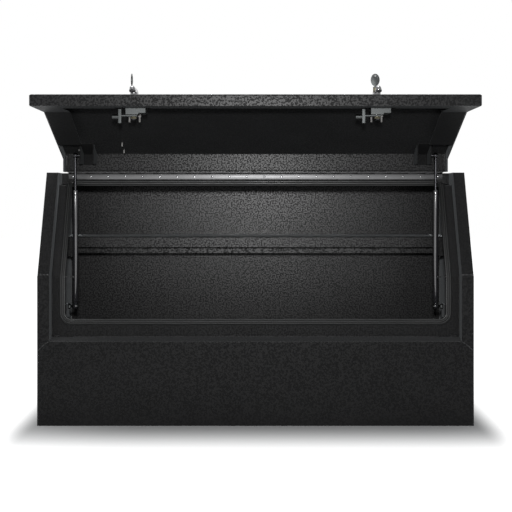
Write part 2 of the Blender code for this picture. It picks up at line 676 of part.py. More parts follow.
def build_strut(side, sign):
    """A gas strut: the black tube on the box's stud and the bright rod that carries the lid's pin."""
    foot = add_pivot(f"strut_foot_{side}", (sign * STRUT_X, STRUT_Y, STRUT_LOWER_Z))
    past_eye = EYE_RADIUS - 1.5 * MM
    bore = TUBE_RADIUS - TUBE_WALL
    guide = (ROD_RADIUS + ROD_CLEARANCE) * ROUND_FACTOR
    top = TUBE_LENGTH
    tube = turned(f"strut_tube_{side}", [
        (guide, top),
        (TUBE_RADIUS - 1 * MM, top),
        (TUBE_RADIUS, top - 1 * MM),
        (TUBE_RADIUS, past_eye + 6 * MM),
        (TUBE_RADIUS - 2 * MM, past_eye),
        (0, past_eye),
        (0, past_eye + 8 * MM),
        (bore, past_eye + 8 * MM),
        (bore, top - GUIDE_LENGTH),
        (guide, top - GUIDE_LENGTH),
        (guide, top),
    ], "black_paint", foot)
    eye = rod(f"tube_eye_{side}", (0, 0, 0), "x", EYE_WIDTH, EYE_RADIUS, None, foot)
    change(tube, eye, "UNION")
    hole = rod(
        f"tube_eye_hole_{side}", (0, 0, 0), "x", 3 * EYE_WIDTH,
        (STUD_RADIUS + STUD_CLEARANCE) * ROUND_FACTOR, None, foot,
    )
    change(tube, hole)
    length = STRUT_UPPER_Z - STRUT_LOWER_Z
    piston_top = top - GUIDE_LENGTH - GAP
    piston = bore - ROD_CLEARANCE
    shaft = turned(f"strut_rod_{side}", [
        (0, length),
        (ROD_RADIUS, length),
        (ROD_RADIUS, piston_top),
        (piston, piston_top),
        (piston, piston_top - PISTON_LENGTH),
        (0, piston_top - PISTON_LENGTH),
    ], "chrome", foot)
    head = bmesh.new()
    add_cone(head, (0, 0, length), "x", EYE_WIDTH, EYE_RADIUS)
    change(shaft, add_object(f"rod_eye_{side}", to_mesh("rod_eye", head), None, foot), "UNION")
    pin = bmesh.new()
    reach = STRUT_X - UPPER_CHEEK_OUTER_X - GAP
    centre = (sign * (EYE_WIDTH / 2 - reach) / 2, 0, length)
    add_cone(pin, centre, "x", reach + EYE_WIDTH / 2, STUD_RADIUS)
    change(shaft, add_object(f"rod_pin_{side}", to_mesh("rod_pin", pin), None, foot), "UNION")


def lid_local(y, z):
    """A place of the closed lid, measured from the hinge axis."""
    return (y - HINGE_Y, z - HINGE_Z)


def lid_path(low_z=LID_LOW_Z, end_y=LID_REAR_Y):
    """The closed lid's outer face line, from the lip to the hinge edge, measured from the hinge axis."""
    return [lid_local(y, z) for y, z in front_path(low_z, end_y)]


def build_lid_skin(lid_axis):
    """The lid's outer skin with its side flanges, its lip and the short flange on the hinge leaf."""
    skin = prism("lid_skin", band(lid_path(), 0, LIP), -LID_X, LID_X, "powder_coat", lid_axis)
    inner = lid_path(LID_LOW_Z + SHEET, LID_REAR_Y - SHEET)
    past = 5 * MM
    hollow_x = LID_X - SHEET
    hollow = prism("lid_hollow", band(inner, SHEET, LIP + past), -hollow_x, hollow_x, None, lid_axis)
    change(skin, hollow)
    rear = LID_REAR_Y - HINGE_Y
    cut_block(
        skin, (-hollow_x, rear - SHEET - past, -LIP - past), (hollow_x, rear + past, -HINGE_FLANGE), lid_axis
    )
    for sign in SIDES.values():
        room = SPINDLE_RADIUS + 2 * MM
        low = (sign * LOCK_X - room, -FRONT_TO_HINGE - past, -LOCK_BELOW_HINGE - room)
        high = (sign * LOCK_X + room, -FRONT_TO_HINGE + SHEET + GAP, -LOCK_BELOW_HINGE + room)
        cut_block(skin, low, high, lid_axis)
        for bolt in (-1, 1):
            x = sign * LOCK_X + bolt * LOCK_BOLT_X
            room = LOCK_BOLT_RADIUS + 0.5 * MM
            z = LOCK_BOLT_ABOVE - LOCK_BELOW_HINGE
            low = (x - room, -FRONT_TO_HINGE - past, z - room)
            high = (x + room, -FRONT_TO_HINGE + SHEET + GAP, z + room)
            cut_block(skin, low, high, lid_axis)


def build_lid_returns(lid_axis):
    """The flat strips inside the lid's rim that press on the seal: one up each side and one along the lip."""
    inner_x = LID_X - LID_RETURN
    low_z = LID_LOW_Z + SHEET + GAP
    slope = Vector((-SLOPE_SETBACK, KINK_Z - HEIGHT)).normalized()
    stop = Vector((SHOULDER_Y, HEIGHT)) + slope * RETURN_STOP
    side_path = [lid_local(y, z) for y, z in ((FRONT_Y, low_z), (FRONT_Y, KINK_Z), tuple(stop))]
    strip = band(side_path, LIP - SHEET, LIP)
    for side, sign in SIDES.items():
        low_x, high_x = both_sides(inner_x, LID_X - SHEET - GAP, sign)
        prism(f"lid_return_{side}", strip, low_x, high_x, "powder_coat", lid_axis)
    near = -FRONT_TO_HINGE + LIP - SHEET
    low = (-inner_x + GAP, near, low_z - HINGE_Z)
    high = (inner_x - GAP, near + SHEET, LID_LOW_Z + LID_RETURN - HINGE_Z)
    bottom = block("lid_return_bottom", low, high, "powder_coat", lid_axis)
    past = 5 * MM
    notch_low = -LOCK_BELOW_HINGE - CAM_TAB_FAR - 4 * MM
    for sign in SIDES.values():
        low = (sign * LOCK_X - NOTCH_HALF, near - past, notch_low)
        high = (sign * LOCK_X + NOTCH_HALF, near + SHEET + past, high[2] + past)
        cut_block(bottom, low, high, lid_axis)


def build_upper_bracket(side, sign, lid_axis):
    """The lid's strut bracket: two cheeks joined by a web that lies against the lid's slope."""
    path = lid_path()
    (kink_y, kink_z), (shoulder_y, shoulder_z) = path[1:3]
    slope = Vector((kink_y - shoulder_y, kink_z - shoulder_z)).normalized()
    inset = SHEET + GAP
    corner = Vector(offset_path(path, inset)[2])
    deep = (-UPPER_BRACKET_DEEP - corner.y) / slope.y
    foot = corner + slope * deep
    outline = [
        (-UPPER_BRACKET_LOW, -inset),
        tuple(corner),
        tuple(foot),
        (-UPPER_BRACKET_LOW, -UPPER_BRACKET_DEEP),
    ]
    low_x, high_x = both_sides(UPPER_CHEEK_INNER_X, UPPER_CHEEK_OUTER_X, sign)
    bracket = prism(f"strut_bracket_upper_{side}", outline, low_x, high_x, "powder_coat", lid_axis)
    low_x, high_x = both_sides(
        UPPER_CHEEK_INNER_X + BRACKET_SHEET, UPPER_CHEEK_OUTER_X - BRACKET_SHEET, sign
    )
    inner_corner = Vector(offset_path(path, inset + BRACKET_SHEET)[2])
    inner_foot = inner_corner + slope * (deep + 10 * MM)
    past = 10 * MM
    hollow = [
        (-UPPER_BRACKET_LOW + past, -inset - BRACKET_SHEET),
        tuple(inner_corner),
        tuple(inner_foot),
        (-UPPER_BRACKET_LOW + past, inner_foot.y),
    ]
    change(bracket, prism(f"bracket_hollow_{side}", hollow, low_x, high_x, None, lid_axis))


def build_badge(lid_axis):
    """A blank plate screwed to the outside of the slope, with its four screws' tips inside."""
    path = lid_path()
    shoulder = Vector(path[2])
    slope = (Vector(path[1]) - shoulder).normalized()
    out = Vector((-slope.y, slope.x)) if slope.x > 0 else Vector((slope.y, -slope.x))
    middle = shoulder + slope * BADGE_DOWN_SLOPE
    half_tall = BADGE_SCREW_TALL / 2 + BADGE_BORDER
    half_wide = BADGE_SCREW_WIDE / 2 + BADGE_BORDER
    near, far = GAP, GAP + BADGE_THICKNESS
    corners = [
        middle + slope * half_tall + out * near,
        middle - slope * half_tall + out * near,
        middle - slope * half_tall + out * far,
        middle + slope * half_tall + out * far,
    ]
    plate = prism(
        "badge_plate", [tuple(c) for c in corners], BADGE_X - half_wide, BADGE_X + half_wide,
        "stainless", lid_axis,
    )
    heads, shanks, holes = bmesh.new(), bmesh.new(), bmesh.new()
    turn = Vector((0, out.x, out.y)).to_track_quat("Z", "Y").to_matrix().to_4x4()
    length = far + SHEET + GAP + SCREW_TIP
    for across in (-1, 1):
        for down in (-1, 1):
            spot = middle + slope * (down * BADGE_SCREW_TALL / 2)
            x = BADGE_X + across * BADGE_SCREW_WIDE / 2
            head = spot + out * (far - GAP + SCREW_HEAD_HEIGHT / 2)
            shank = spot + out * (far - length / 2)
            for form, centre, depth, radius, end in (
                (heads, head, SCREW_HEAD_HEIGHT, SCREW_HEAD_RADIUS, SCREW_HEAD_RADIUS * 0.6),
                (shanks, shank, length, SCREW_RADIUS, SCREW_RADIUS),
                (holes, shank, 2 * length, SCREW_RADIUS + 0.4 * MM, SCREW_RADIUS + 0.4 * MM),
            ):
                place = Matrix.Translation((x, centre.x, centre.y)) @ turn
                bmesh.ops.create_cone(
                    form, cap_ends=True, segments=8, radius1=radius, radius2=end, depth=depth, matrix=place
                )
    change(plate, add_object("badge_heads", to_mesh("badge_heads", heads), None, lid_axis), "UNION")
    change(plate, add_object("badge_shanks", to_mesh("badge_shanks", shanks), None, lid_axis), "UNION")
    drill = add_object("badge_holes", to_mesh("badge_holes", holes), None, lid_axis)
    change(bpy.data.objects["lid_skin"], drill)


def build_lock(side, sign, lid_axis):
    """One cam lock: case, bolts and outside plate fixed to the lid, with the turning handle and cam."""
    centre_x = sign * LOCK_X
    face = -FRONT_TO_HINGE
    z = -LOCK_BELOW_HINGE
    inside = face + SHEET + GAP
    back = face + CASE_DEPTH
    tall = CASE_TALL / 2
    bore = (SPINDLE_RADIUS + SPINDLE_CLEARANCE) * ROUND_FACTOR

    case = block(
        f"lock_case_{side}", (centre_x - CASE_LEFT, inside, z - tall),
        (centre_x + CASE_RIGHT, back, z + tall), "zinc", lid_axis,
    )
    wall = CASE_WALL
    cut_block(
        case, (centre_x - CASE_LEFT + wall, face, z - tall + wall),
        (centre_x + CASE_RIGHT - wall, back - wall, z + tall - wall), lid_axis,
    )
    foot = block(
        f"case_foot_{side}", (centre_x - CASE_LEFT, back - 1 * MM, z - tall),
        (centre_x + CASE_FOOT_RIGHT, back + CASE_FOOT, z + tall), None, lid_axis,
    )
    change(case, foot, "UNION")
    plate = block(
        f"lock_plate_{side}", (centre_x - PLATE_WIDE / 2, face - GAP - PLATE_THICKNESS, z - PLATE_TALL / 2),
        (centre_x + PLATE_WIDE / 2, face - GAP, z + PLATE_TALL / 2), "stainless", lid_axis,
    )
    drill = rod(f"spindle_bore_{side}", (centre_x, face, z), "y", 4 * CASE_DEPTH, bore, None, lid_axis)
    change(case, drill)
    change(plate, drill)
    holes = bmesh.new()
    start = face - GAP
    for place, way in (("outer", sign), ("inner", -sign)):
        centre = (centre_x + way * LOCK_BOLT_X, start + LOCK_BOLT_END / 2, z + LOCK_BOLT_ABOVE)
        rod(
            f"lock_bolt_{side}_{place}", centre, "y", LOCK_BOLT_END, LOCK_BOLT_RADIUS, "zinc", lid_axis, 8
        )
        add_cone(holes, centre, "y", LOCK_BOLT_END + 2 * GAP, LOCK_BOLT_RADIUS + GAP, sides=8)
    change(case, add_object(f"bolt_holes_{side}", to_mesh("bolt_holes", holes), None, lid_axis))

    turn = add_pivot(f"lock_axis_{side}", (centre_x, face, z), lid_axis)
    arm_near = CASE_DEPTH + CASE_FOOT + GAP
    stem_start = -HANDLE_STANDOFF
    handle = block(
        f"lock_handle_{side}", (-HANDLE_WIDE / 2, stem_start - HANDLE_THICKNESS, -HANDLE_LONG / 2),
        (HANDLE_WIDE / 2, stem_start, HANDLE_LONG / 2), "chrome", turn,
    )
    soften = handle.modifiers.new("soft_edges", "BEVEL")
    soften.width = HANDLE_ROUND
    soften.segments = 3
    soften.limit_method = "ANGLE"
    stem_end = -PLATE_THICKNESS - 2 * GAP
    stem = rod(
        f"handle_stem_{side}", (0, (stem_start + stem_end) / 2 - 1 * MM, 0), "y",
        stem_end - stem_start + 2 * MM, HANDLE_STEM_RADIUS, None, turn,
    )
    change(handle, stem, "UNION")
    spindle_start = stem_end - 4 * MM
    spindle = rod(
        f"handle_spindle_{side}", (0, (spindle_start + SPINDLE_END) / 2, 0), "y",
        SPINDLE_END - spindle_start, SPINDLE_RADIUS, None, turn,
    )
    change(handle, spindle, "UNION")
    cylinder_back = stem_start - HANDLE_THICKNESS + CYLINDER_LENGTH
    hole = rod(
        f"cylinder_hole_{side}", (-CYLINDER_OFFSET, cylinder_back - CYLINDER_LENGTH / 2 - 2 * MM, 0), "y",
        CYLINDER_LENGTH + 4 * MM + 2 * GAP, (CYLINDER_RADIUS + CYLINDER_CLEARANCE) * ROUND_FACTOR, None, turn,
    )
    change(handle, hole)

    cam_bore = rod(f"cam_bore_{side}", (0, arm_near, 0), "y", CASE_DEPTH, bore, None, turn)
    cam = block(
        f"lock_cam_{side}", (-CAM_TAB_FAR, arm_near, -CAM_HALF_WIDTH),
        (CAM_HALF_WIDTH, arm_near + CAM_THICKNESS, CAM_HALF_WIDTH), "zinc", turn,
    )
    tab = block(
        f"cam_tab_{side}", (-CAM_TAB_FAR, CAM_TAB_FRONT, -CAM_HALF_WIDTH),
        (-CAM_TAB_NEAR, CAM_TAB_BACK, CAM_HALF_WIDTH), None, turn,
    )
    change(cam, tab, "UNION")
    pin_y = arm_near + CAM_THICKNESS / 2 + 2 * MM
    finger = rod(
        f"cam_finger_{side}", (-(CAM_TAB_FAR + CAM_PIN_END) / 2 + 1 * MM, pin_y, 0), "x",
        CAM_PIN_END - CAM_TAB_FAR + 2 * MM, CAM_PIN_RADIUS, None, turn,
    )
    change(cam, finger, "UNION")
    change(cam, cam_bore)
    nut_near = arm_near + CAM_THICKNESS + GAP
    nut = rod(
        f"lock_nut_{side}", (0, nut_near + SPINDLE_NUT_LENGTH / 2, 0), "y", SPINDLE_NUT_LENGTH,
        SPINDLE_NUT_RADIUS, "brass", turn, 6,
    )
    change(nut, cam_bore)

    barrel = add_pivot(
        f"cylinder_axis_{side}", (-CYLINDER_OFFSET, cylinder_back, 0), turn
    )
    core = rod(
        f"lock_cylinder_{side}", (0, -CYLINDER_LENGTH / 2, 0), "y", CYLINDER_LENGTH - GAP,
        CYLINDER_RADIUS, "brass", barrel,
    )
    build_key(side, core, barrel)


def build_key(side, core, barrel):
    """A flat key with a drilled bow, its blade in the cylinder's slot; the left one stands edge-on."""
    broad = side == "right"
    face = -CYLINDER_LENGTH

    def place(across, out, half_thick):
        """Corner of the key: across its width, out from the cylinder's face, to one side of its thickness."""
        return (across, face - out, half_thick) if broad else (half_thick, face - out, across)

    def slab(name, half_wide, start, end, half_thick, material):
        low = place(-half_wide, end, -half_thick)
        high = place(half_wide, start, half_thick)
        return block(name, low, high, material, barrel)

    slot = slab(
        f"key_slot_{side}", KEY_BLADE_WIDE / 2 + KEY_CLEARANCE, -KEY_BLADE_LONG - KEY_CLEARANCE, 5 * MM,
        KEY_THICKNESS / 2 + KEY_CLEARANCE, None,
    )
    change(core, slot)
    half_thick = KEY_THICKNESS / 2
    key = slab(f"key_{side}", KEY_BLADE_WIDE / 2, -KEY_BLADE_LONG, KEY_NECK + 1 * MM, half_thick, "stainless")
    bow = bmesh.new()
    hole = bmesh.new()
    axis = "z" if broad else "x"
    middle = place(0, KEY_NECK + KEY_BOW_TALL / 2, 0)
    add_cone(bow, (0, 0, 0), axis, KEY_THICKNESS, KEY_BOW_WIDE / 2)
    stretch = Matrix.Diagonal((1, KEY_BOW_TALL / KEY_BOW_WIDE, 1, 1))
    bmesh.ops.transform(bow, matrix=Matrix.Translation(middle) @ stretch, verts=bow.verts)
    hole_at = place(0, KEY_NECK + KEY_BOW_TALL - 3 * KEY_HOLE_RADIUS, 0)
    add_cone(hole, hole_at, axis, 4 * KEY_THICKNESS, KEY_HOLE_RADIUS, sides=12)
    change(key, add_object(f"key_bow_{side}", to_mesh("key_bow", bow), None, barrel), "UNION")
    change(key, add_object(f"key_hole_{side}", to_mesh("key_hole", hole), None, barrel))


def main():
    """Build the whole box with its lid standing open."""
    window = window_cutter()
    build_floor()
    build_rear()
    build_top()
    build_front(window)
    build_seal()
    build_shelf()
    lid_axis = add_pivot("lid_axis", (0, HINGE_Y, HINGE_Z), turn_x=-LID_OPEN)
    build_hinge(lid_axis)
    build_lid_skin(lid_axis)
    build_lid_returns(lid_axis)
    build_badge(lid_axis)
    for side, sign in SIDES.items():
        build_side(side, sign)
        build_jamb(side, sign, window)
        build_lower_bracket(side, sign)
        build_strut(side, sign)
        build_upper_bracket(side, sign, lid_axis)
        build_lock(side, sign, lid_axis)


main()
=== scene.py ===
import json
import math

import bmesh
import bpy
from bpy.props import FloatProperty, FloatVectorProperty, PointerProperty
from mathutils import Matrix, Vector


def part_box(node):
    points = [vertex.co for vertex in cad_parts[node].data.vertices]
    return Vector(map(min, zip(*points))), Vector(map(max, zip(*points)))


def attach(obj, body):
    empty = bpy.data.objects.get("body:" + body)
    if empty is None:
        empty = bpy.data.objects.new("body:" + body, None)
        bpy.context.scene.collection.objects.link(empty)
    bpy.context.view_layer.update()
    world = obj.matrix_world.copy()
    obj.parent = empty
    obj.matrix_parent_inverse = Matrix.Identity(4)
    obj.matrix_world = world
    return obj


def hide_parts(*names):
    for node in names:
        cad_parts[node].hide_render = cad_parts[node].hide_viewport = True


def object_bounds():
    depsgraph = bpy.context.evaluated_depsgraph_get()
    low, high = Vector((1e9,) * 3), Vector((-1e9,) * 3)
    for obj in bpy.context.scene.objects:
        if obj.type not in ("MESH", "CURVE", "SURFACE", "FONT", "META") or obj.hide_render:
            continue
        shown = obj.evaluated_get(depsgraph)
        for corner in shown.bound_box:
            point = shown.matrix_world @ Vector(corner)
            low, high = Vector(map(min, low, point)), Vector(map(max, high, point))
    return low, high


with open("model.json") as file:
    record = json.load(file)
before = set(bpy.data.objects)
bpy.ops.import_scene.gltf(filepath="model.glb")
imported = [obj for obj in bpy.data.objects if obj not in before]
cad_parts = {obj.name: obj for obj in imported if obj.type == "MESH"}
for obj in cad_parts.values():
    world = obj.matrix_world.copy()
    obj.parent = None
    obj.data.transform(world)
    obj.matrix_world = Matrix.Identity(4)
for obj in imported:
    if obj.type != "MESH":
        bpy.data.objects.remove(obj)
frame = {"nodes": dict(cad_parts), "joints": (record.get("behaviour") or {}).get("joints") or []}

bl_info = {
    "name": "Aluminium storage box",
    "version": (1, 0, 0),
    "blender": (4, 5, 0),
    "location": "View3D > Sidebar > Storage box",
    "description": "Dresses the packed storage box: folded sheets, welds, seal, hinge, struts, locks and finishes",
    "category": "Object",
}

CAD_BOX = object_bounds()
SIDES = {"left": -1, "right": 1}
MERGE = 0.00002  # points nearer to each other than this are one
WIDE_FACE = 0.006  # a sheet's face is wider than this, its cut edge isn't
SHEET = 0.0025  # thickness of the box and lid sheets
RECESS = 0.038  # from the box's front to the back of the jambs' inner flanges


def joint_place(name):
    """The point that the named hinge turns about, at rest."""
    return Vector(next(item["pos_m"] for item in frame["joints"] if item["name"] == name))


def side_corners():
    """The kink and the shoulder of the box's front edge at x = 0, read from a side sheet."""
    places = [vertex.co for vertex in frame["nodes"]["side_panel_left"].data.vertices]
    front = min(place.y for place in places)
    top = max(place.z for place in places)
    kink = max((p for p in places if p.y < front + MERGE), key=lambda p: p.z)
    shoulder = min((p for p in places if p.z > top - MERGE), key=lambda p: p.y)
    return [Vector((0, *place.yz)) for place in (kink, shoulder)]


KINK, SHOULDER = side_corners()
FRONT_Y = KINK.y
SLOPE = (SHOULDER - KINK).normalized()
SLOPE_OUT = Vector((0, -SLOPE.z, SLOPE.y))
HINGE = joint_place("lid")


# Settings

def tint(name, description, colour):
    """A colour of a group of settings."""
    return FloatVectorProperty(
        name=name, description=description, subtype="COLOR", size=4, min=0, max=1, default=(*colour, 1),
    )


def metres(name, description, default, **limits):
    """A length of a group of settings."""
    return FloatProperty(name=name, description=description, unit="LENGTH", default=default, **limits)


def number(name, description, default, **limits):
    """A plain number of a group of settings."""
    return FloatProperty(name=name, description=description, default=default, **limits)


class FinishSettings(bpy.types.PropertyGroup):
    """Colours and grain of the finishes."""

    coat_colour: tint("Powder coat", "Colour of the textured powder coat", (0.0105, 0.0105, 0.0107))
    coat_grain: metres("Coat grain", "Size of the powder coat's wrinkles", 0.0042, min=0.0002)
    coat_relief: metres("Coat relief", "Height of the powder coat's wrinkles", 0.00030, min=0)
    coat_sheen: number("Coat sheen", "Even part of the powder coat's reflection", 0.04, min=0)
    coat_glint: number("Coat glint", "Reflection of the wrinkles' crests", 0.42, min=0)
    coat_bloom: number("Coat bloom", "Pale haze of the powder coat at a flat angle", 0.13, min=0, max=1)
    # Dust and painted top light: faces that look up are painted lighter, most of all the front sheets' ledge.
    coat_dust_and_top_light: number("Dust", "How much lighter the coat is where it looks up", 1.0, min=0)
    steel_colour: tint("Stainless steel", "Colour of the hinge and plates", (0.108, 0.108, 0.110))
    zinc_colour: tint("Zinc", "Colour of the plated lock parts", (0.042, 0.0445, 0.0445))
    thread_colour: tint("Threads", "Colour of the pale screw tips and bolts", (0.20, 0.195, 0.19))
    chrome_colour: tint("Chrome", "Colour of the turn handles", (0.18, 0.18, 0.185))
    brass_colour: tint("Brass", "Colour of the cylinders and spindle nuts", (0.13, 0.122, 0.085))
    rod_colour: tint("Strut rod", "Colour of the struts' dark hardened rods", (0.027, 0.027, 0.029))
    rubber_colour: tint("Rubber", "Colour of the door seal", (0.018, 0.0185, 0.0185))
    tube_colour: tint("Strut tube", "Colour of the struts' painted tubes", (0.016, 0.016, 0.018))
    floor_colour: tint("Floor", "Colour of the studio floor", (0.45, 0.45, 0.45))


class DetailSettings(bpy.types.PropertyGroup):
    """Sizes of the details that dress the sheets and fittings."""

    outer_fold: metres("Outer fold radius", "Radius outside a fold of the sheet", 0.0036)
    inner_fold: metres("Inner fold radius", "Radius inside a fold of the sheet", 0.0028)
    edge_round: metres("Edge rounding", "Rounding of cut edges under the coat", 0.0006)
    weld_width: metres("Stitch width", "Width of a stitch weld inside the box", 0.005)
    weld_height: metres("Stitch height", "Height of a stitch weld inside the box", 0.0022)
    weld_pitch: metres("Weld ripple", "Distance between a bead's ripples", 0.0022)
    seal_joint: metres("Seal joint", "Where the top seal's two lengths meet, from the middle", -0.391)


class StageSettings(bpy.types.PropertyGroup):
    """Camera and lights."""

    focal_length: number("Focal length", "Lens of the camera, in mm", 69.66)
    camera_reach: metres("Camera reach", "Distance of the camera before the box's front", 2.722)
    camera_height: metres("Camera height", "Height of the camera over the floor", 0.6124)
    horizon_row: number("Horizon row", "Row of the frame that the horizon lies on, in pixels", 203)
    middle_column: number("Middle column", "Column that the box's middle lies on, in pixels", 255.5)
    frame_side: number("Frame side", "Width and height of the frame, in pixels", 512)
    key_power: number("Key light", "Power of the front light, in W", 62)
    key_size: metres("Key size", "Side of the front light", 0.10)
    key_reach: metres("Key reach", "Distance of the front light before the box's middle", 3.02)
    key_height: metres("Key height", "Height of the front light", 0.82)
    # Painted shadow: the floor's glow in view beside the box, which rises to the open glow away from it.
    painted_shadow_glow: number("Near glow", "Lifts the floor in view beside the box", 0.01)
    open_glow: number("Open glow", "Evens the open floor to white in view", 1.0)
    shadow_reach: metres("Shadow reach", "How far the floor's shading runs out", 0.40)
    top_power: number("Top light", "Power of the overhead light, in W", 95)
    ambient: number("Ambient", "Strength of the room's even light", 0.27)


def settings():
    """The three groups of settings."""
    scene = bpy.context.scene
    return scene.box_finish, scene.box_detail, scene.box_stage


# Shader nodes and groups

NOISE_SPAN = (0.3, 0.7)  # where nearly all values of a noise lie


def feed(tree, node, values):
    """Give a node's inputs, by name or number, a constant or a link from another node's output."""
    for key, value in values.items():
        if isinstance(value, bpy.types.NodeSocket):
            tree.links.new(value, node.inputs[key])
        else:
            node.inputs[key].default_value = value


def add_node(tree, kind, values=None, **own):
    """Add a shader node beside the others, with its own properties and what feeds its inputs."""
    row, column = divmod(len(tree.nodes), 6)
    node = tree.nodes.new("ShaderNode" + kind)
    node.location = (column * 220 - 900, -row * 320)
    for name, value in own.items():
        setattr(node, name, value)
    feed(tree, node, values or {})
    return node


def maths(tree, operation, first, second=0):
    """The result of a sum on one or two numbers or sockets."""
    return add_node(tree, "Math", {0: first, 1: second}, operation=operation).outputs[0]


def noise(tree, place, scale, detail):
    """The value of a noise at a place; the scale may be a socket."""
    return add_node(tree, "TexNoise", {"Vector": place, "Scale": scale, "Detail": detail}).outputs["Fac"]


def ramp(tree, value, start, stop, low=0, high=1, smooth=False):
    """A number that runs from low to high while a value runs from start to stop."""
    feeds = {"Value": value, "From Min": start, "From Max": stop, "To Min": low, "To Max": high}
    kind = "SMOOTHSTEP" if smooth else "LINEAR"
    return add_node(tree, "MapRange", feeds, interpolation_type=kind).outputs["Result"]


def blend(tree, low, high, factor):
    """A colour that runs from low to high, each a colour or a socket, with a factor socket."""
    feeds = {"A": low, "B": high, "Factor": factor}
    return add_node(tree, "Mix", feeds, data_type="RGBA").outputs["Result"]


def fill_wrinkle(tree, entry):
    """Relief, sparkle and slow tone of a wrinkled coat, and where it looks up or towards the middle."""
    facing = add_node(tree, "SeparateXYZ", {0: add_node(tree, "NewGeometry").outputs["Normal"]}).outputs
    place = add_node(tree, "SeparateXYZ", {0: entry["Vector"]}).outputs
    outward = maths(tree, "MULTIPLY", maths(tree, "SIGN", place["X"]), facing["X"])
    grains = noise(tree, entry["Vector"], entry["Grain"], 1.0)
    return {
        "Height": grains,
        "Sparkle": ramp(tree, grains, 0.42, 0.58, smooth=True),
        "Tone": noise(tree, entry["Vector"], 9.0, 2.0),
        "Upward": ramp(tree, facing["Z"], 0.25, 0.85, smooth=True),
        "Inward": ramp(tree, outward, -0.5, -0.9),
    }


def fill_brushed(tree, entry):
    """Fine lines along X with slow stains, for drawn and brushed metal."""
    stretch = add_node(tree, "Mapping", {"Vector": entry["Vector"], "Scale": (0.012, 1, 1)}).outputs[0]
    return {
        "Lines": noise(tree, stretch, entry["Lines"], 3.0),
        "Stain": noise(tree, entry["Vector"], 14.0, 4.0),
    }


def fill_speckle(tree, entry):
    """A fine grain and a slow patchiness, for rubber, paint, plating and the floor."""
    return {
        "Grain": noise(tree, entry["Vector"], entry["Grain"], 2.0),
        "Patch": noise(tree, entry["Vector"], 20.0, 3.0),
    }


def fill_distance(tree, entry):
    """How far a floor point lies from the box's foot: 0 at its edge and 1 in the open, sooner at its sides."""
    value, sooner = entry["Vector"], 4.0
    for operation, other in (
        ("ABSOLUTE", (0, 0, 0)), ("SUBTRACT", (CAD_BOX[1][0], -FRONT_Y, 0)), ("MAXIMUM", (0, 0, 0)),
        ("MULTIPLY", (sooner, 1, 0)),
    ):
        value = add_node(tree, "VectorMath", {0: value, 1: other}, operation=operation).outputs[0]
    distance = add_node(tree, "VectorMath", {0: value}, operation="LENGTH").outputs["Value"]
    return {"Open": ramp(tree, distance, 0, entry["Reach"], smooth=True)}


# What fills each group, the name and default of its size, and its outputs
GROUPS = {
    "Coat wrinkle": (fill_wrinkle, "Grain", 300.0, ("Height", "Sparkle", "Tone", "Upward", "Inward")),
    "Brushed lines": (fill_brushed, "Lines", 900.0, ("Lines", "Stain")),
    "Fine speckle": (fill_speckle, "Grain", 1200.0, ("Grain", "Patch")),
    "Distance from the box": (fill_distance, "Reach", 0.35, ("Open",)),
}


def shader_group(name):
    """The named group, made the first time that it is asked for."""
    if name in bpy.data.node_groups:
        return bpy.data.node_groups[name]
    fill, size, default, outputs = GROUPS[name]
    tree = bpy.data.node_groups.new(name, "ShaderNodeTree")
    add_socket = tree.interface.new_socket
    add_socket(name="Vector", in_out="INPUT", socket_type="NodeSocketVector")
    add_socket(name=size, in_out="INPUT", socket_type="NodeSocketFloat").default_value = default
    for output in outputs:
        add_socket(name=output, in_out="OUTPUT", socket_type="NodeSocketFloat")
    entry = tree.nodes.new("NodeGroupInput")
    leave = tree.nodes.new("NodeGroupOutput")
    feed(tree, leave, fill(tree, entry.outputs))
    return tree


# Materials

def shade(colour, amount):
    """A colour made lighter or darker by a factor."""
    return (*[min(1, channel * amount) for channel in colour[:3]], 1)


def start_material(name, group, size):
    """Make a material with a group on Object coordinates; return its tree, shader and the group's outputs."""
    material = bpy.data.materials.new(name)
    material.use_nodes = True
    tree = material.node_tree
    place = add_node(tree, "TexCoord").outputs["Object"]
    effect = add_node(tree, "Group", node_tree=shader_group(group))
    feed(tree, effect, {"Vector": place, 1: size})
    return tree, tree.nodes["Principled BSDF"], effect.outputs


def add_relief(tree, shader, height, distance, strength=1.0):
    """Bump a surface by a height socket."""
    bump = add_node(tree, "Bump", {"Height": height, "Distance": distance, "Strength": strength})
    feed(tree, shader, {"Normal": bump.outputs["Normal"]})


def powder_coat(name, lift=1.0, shine=0.5, roughness=0.40, top_light_and_dust=1.3, bloom=1.0, painted_light_inside=1.0):
    """Black powder coat with a coarse wrinkle whose crests glint near the light; painted top light and some dust
    lighten it where it looks up, and painted light lightens faces towards the middle.
    """
    finish = settings()[0]
    tree, shader, effect = start_material(name, "Coat wrinkle", 1 / finish.coat_grain)
    colour = finish.coat_colour
    tone = ramp(tree, effect["Tone"], *NOISE_SPAN)
    black = blend(tree, shade(colour, 0.92 * lift), shade(colour, 1.08 * lift), tone)
    # Painted light: faces that look up are painted lighter for top light and some dust, and faces towards the
    # middle are painted lighter for light on the inner side walls.
    for output, pale in (("Upward", top_light_and_dust * finish.coat_dust_and_top_light), ("Inward", painted_light_inside)):
        if pale != 1:
            black = blend(tree, black, shade(colour, lift * pale), effect[output])
    feed(tree, shader, {
        "Base Color": black,
        "Roughness": ramp(tree, effect["Tone"], *NOISE_SPAN, roughness - 0.02, roughness + 0.02),
        "Specular IOR Level": finish.coat_sheen * shine,
        "Coat Weight": maths(tree, "MULTIPLY", effect["Sparkle"], finish.coat_glint * shine),
        "Coat Roughness": roughness,
        "Sheen Weight": finish.coat_bloom * bloom,
        "Sheen Roughness": 0.3,
        "Sheen Tint": (0.92, 0.97, 1.0, 1),
    })
    add_relief(tree, shader, effect["Height"], finish.coat_relief)


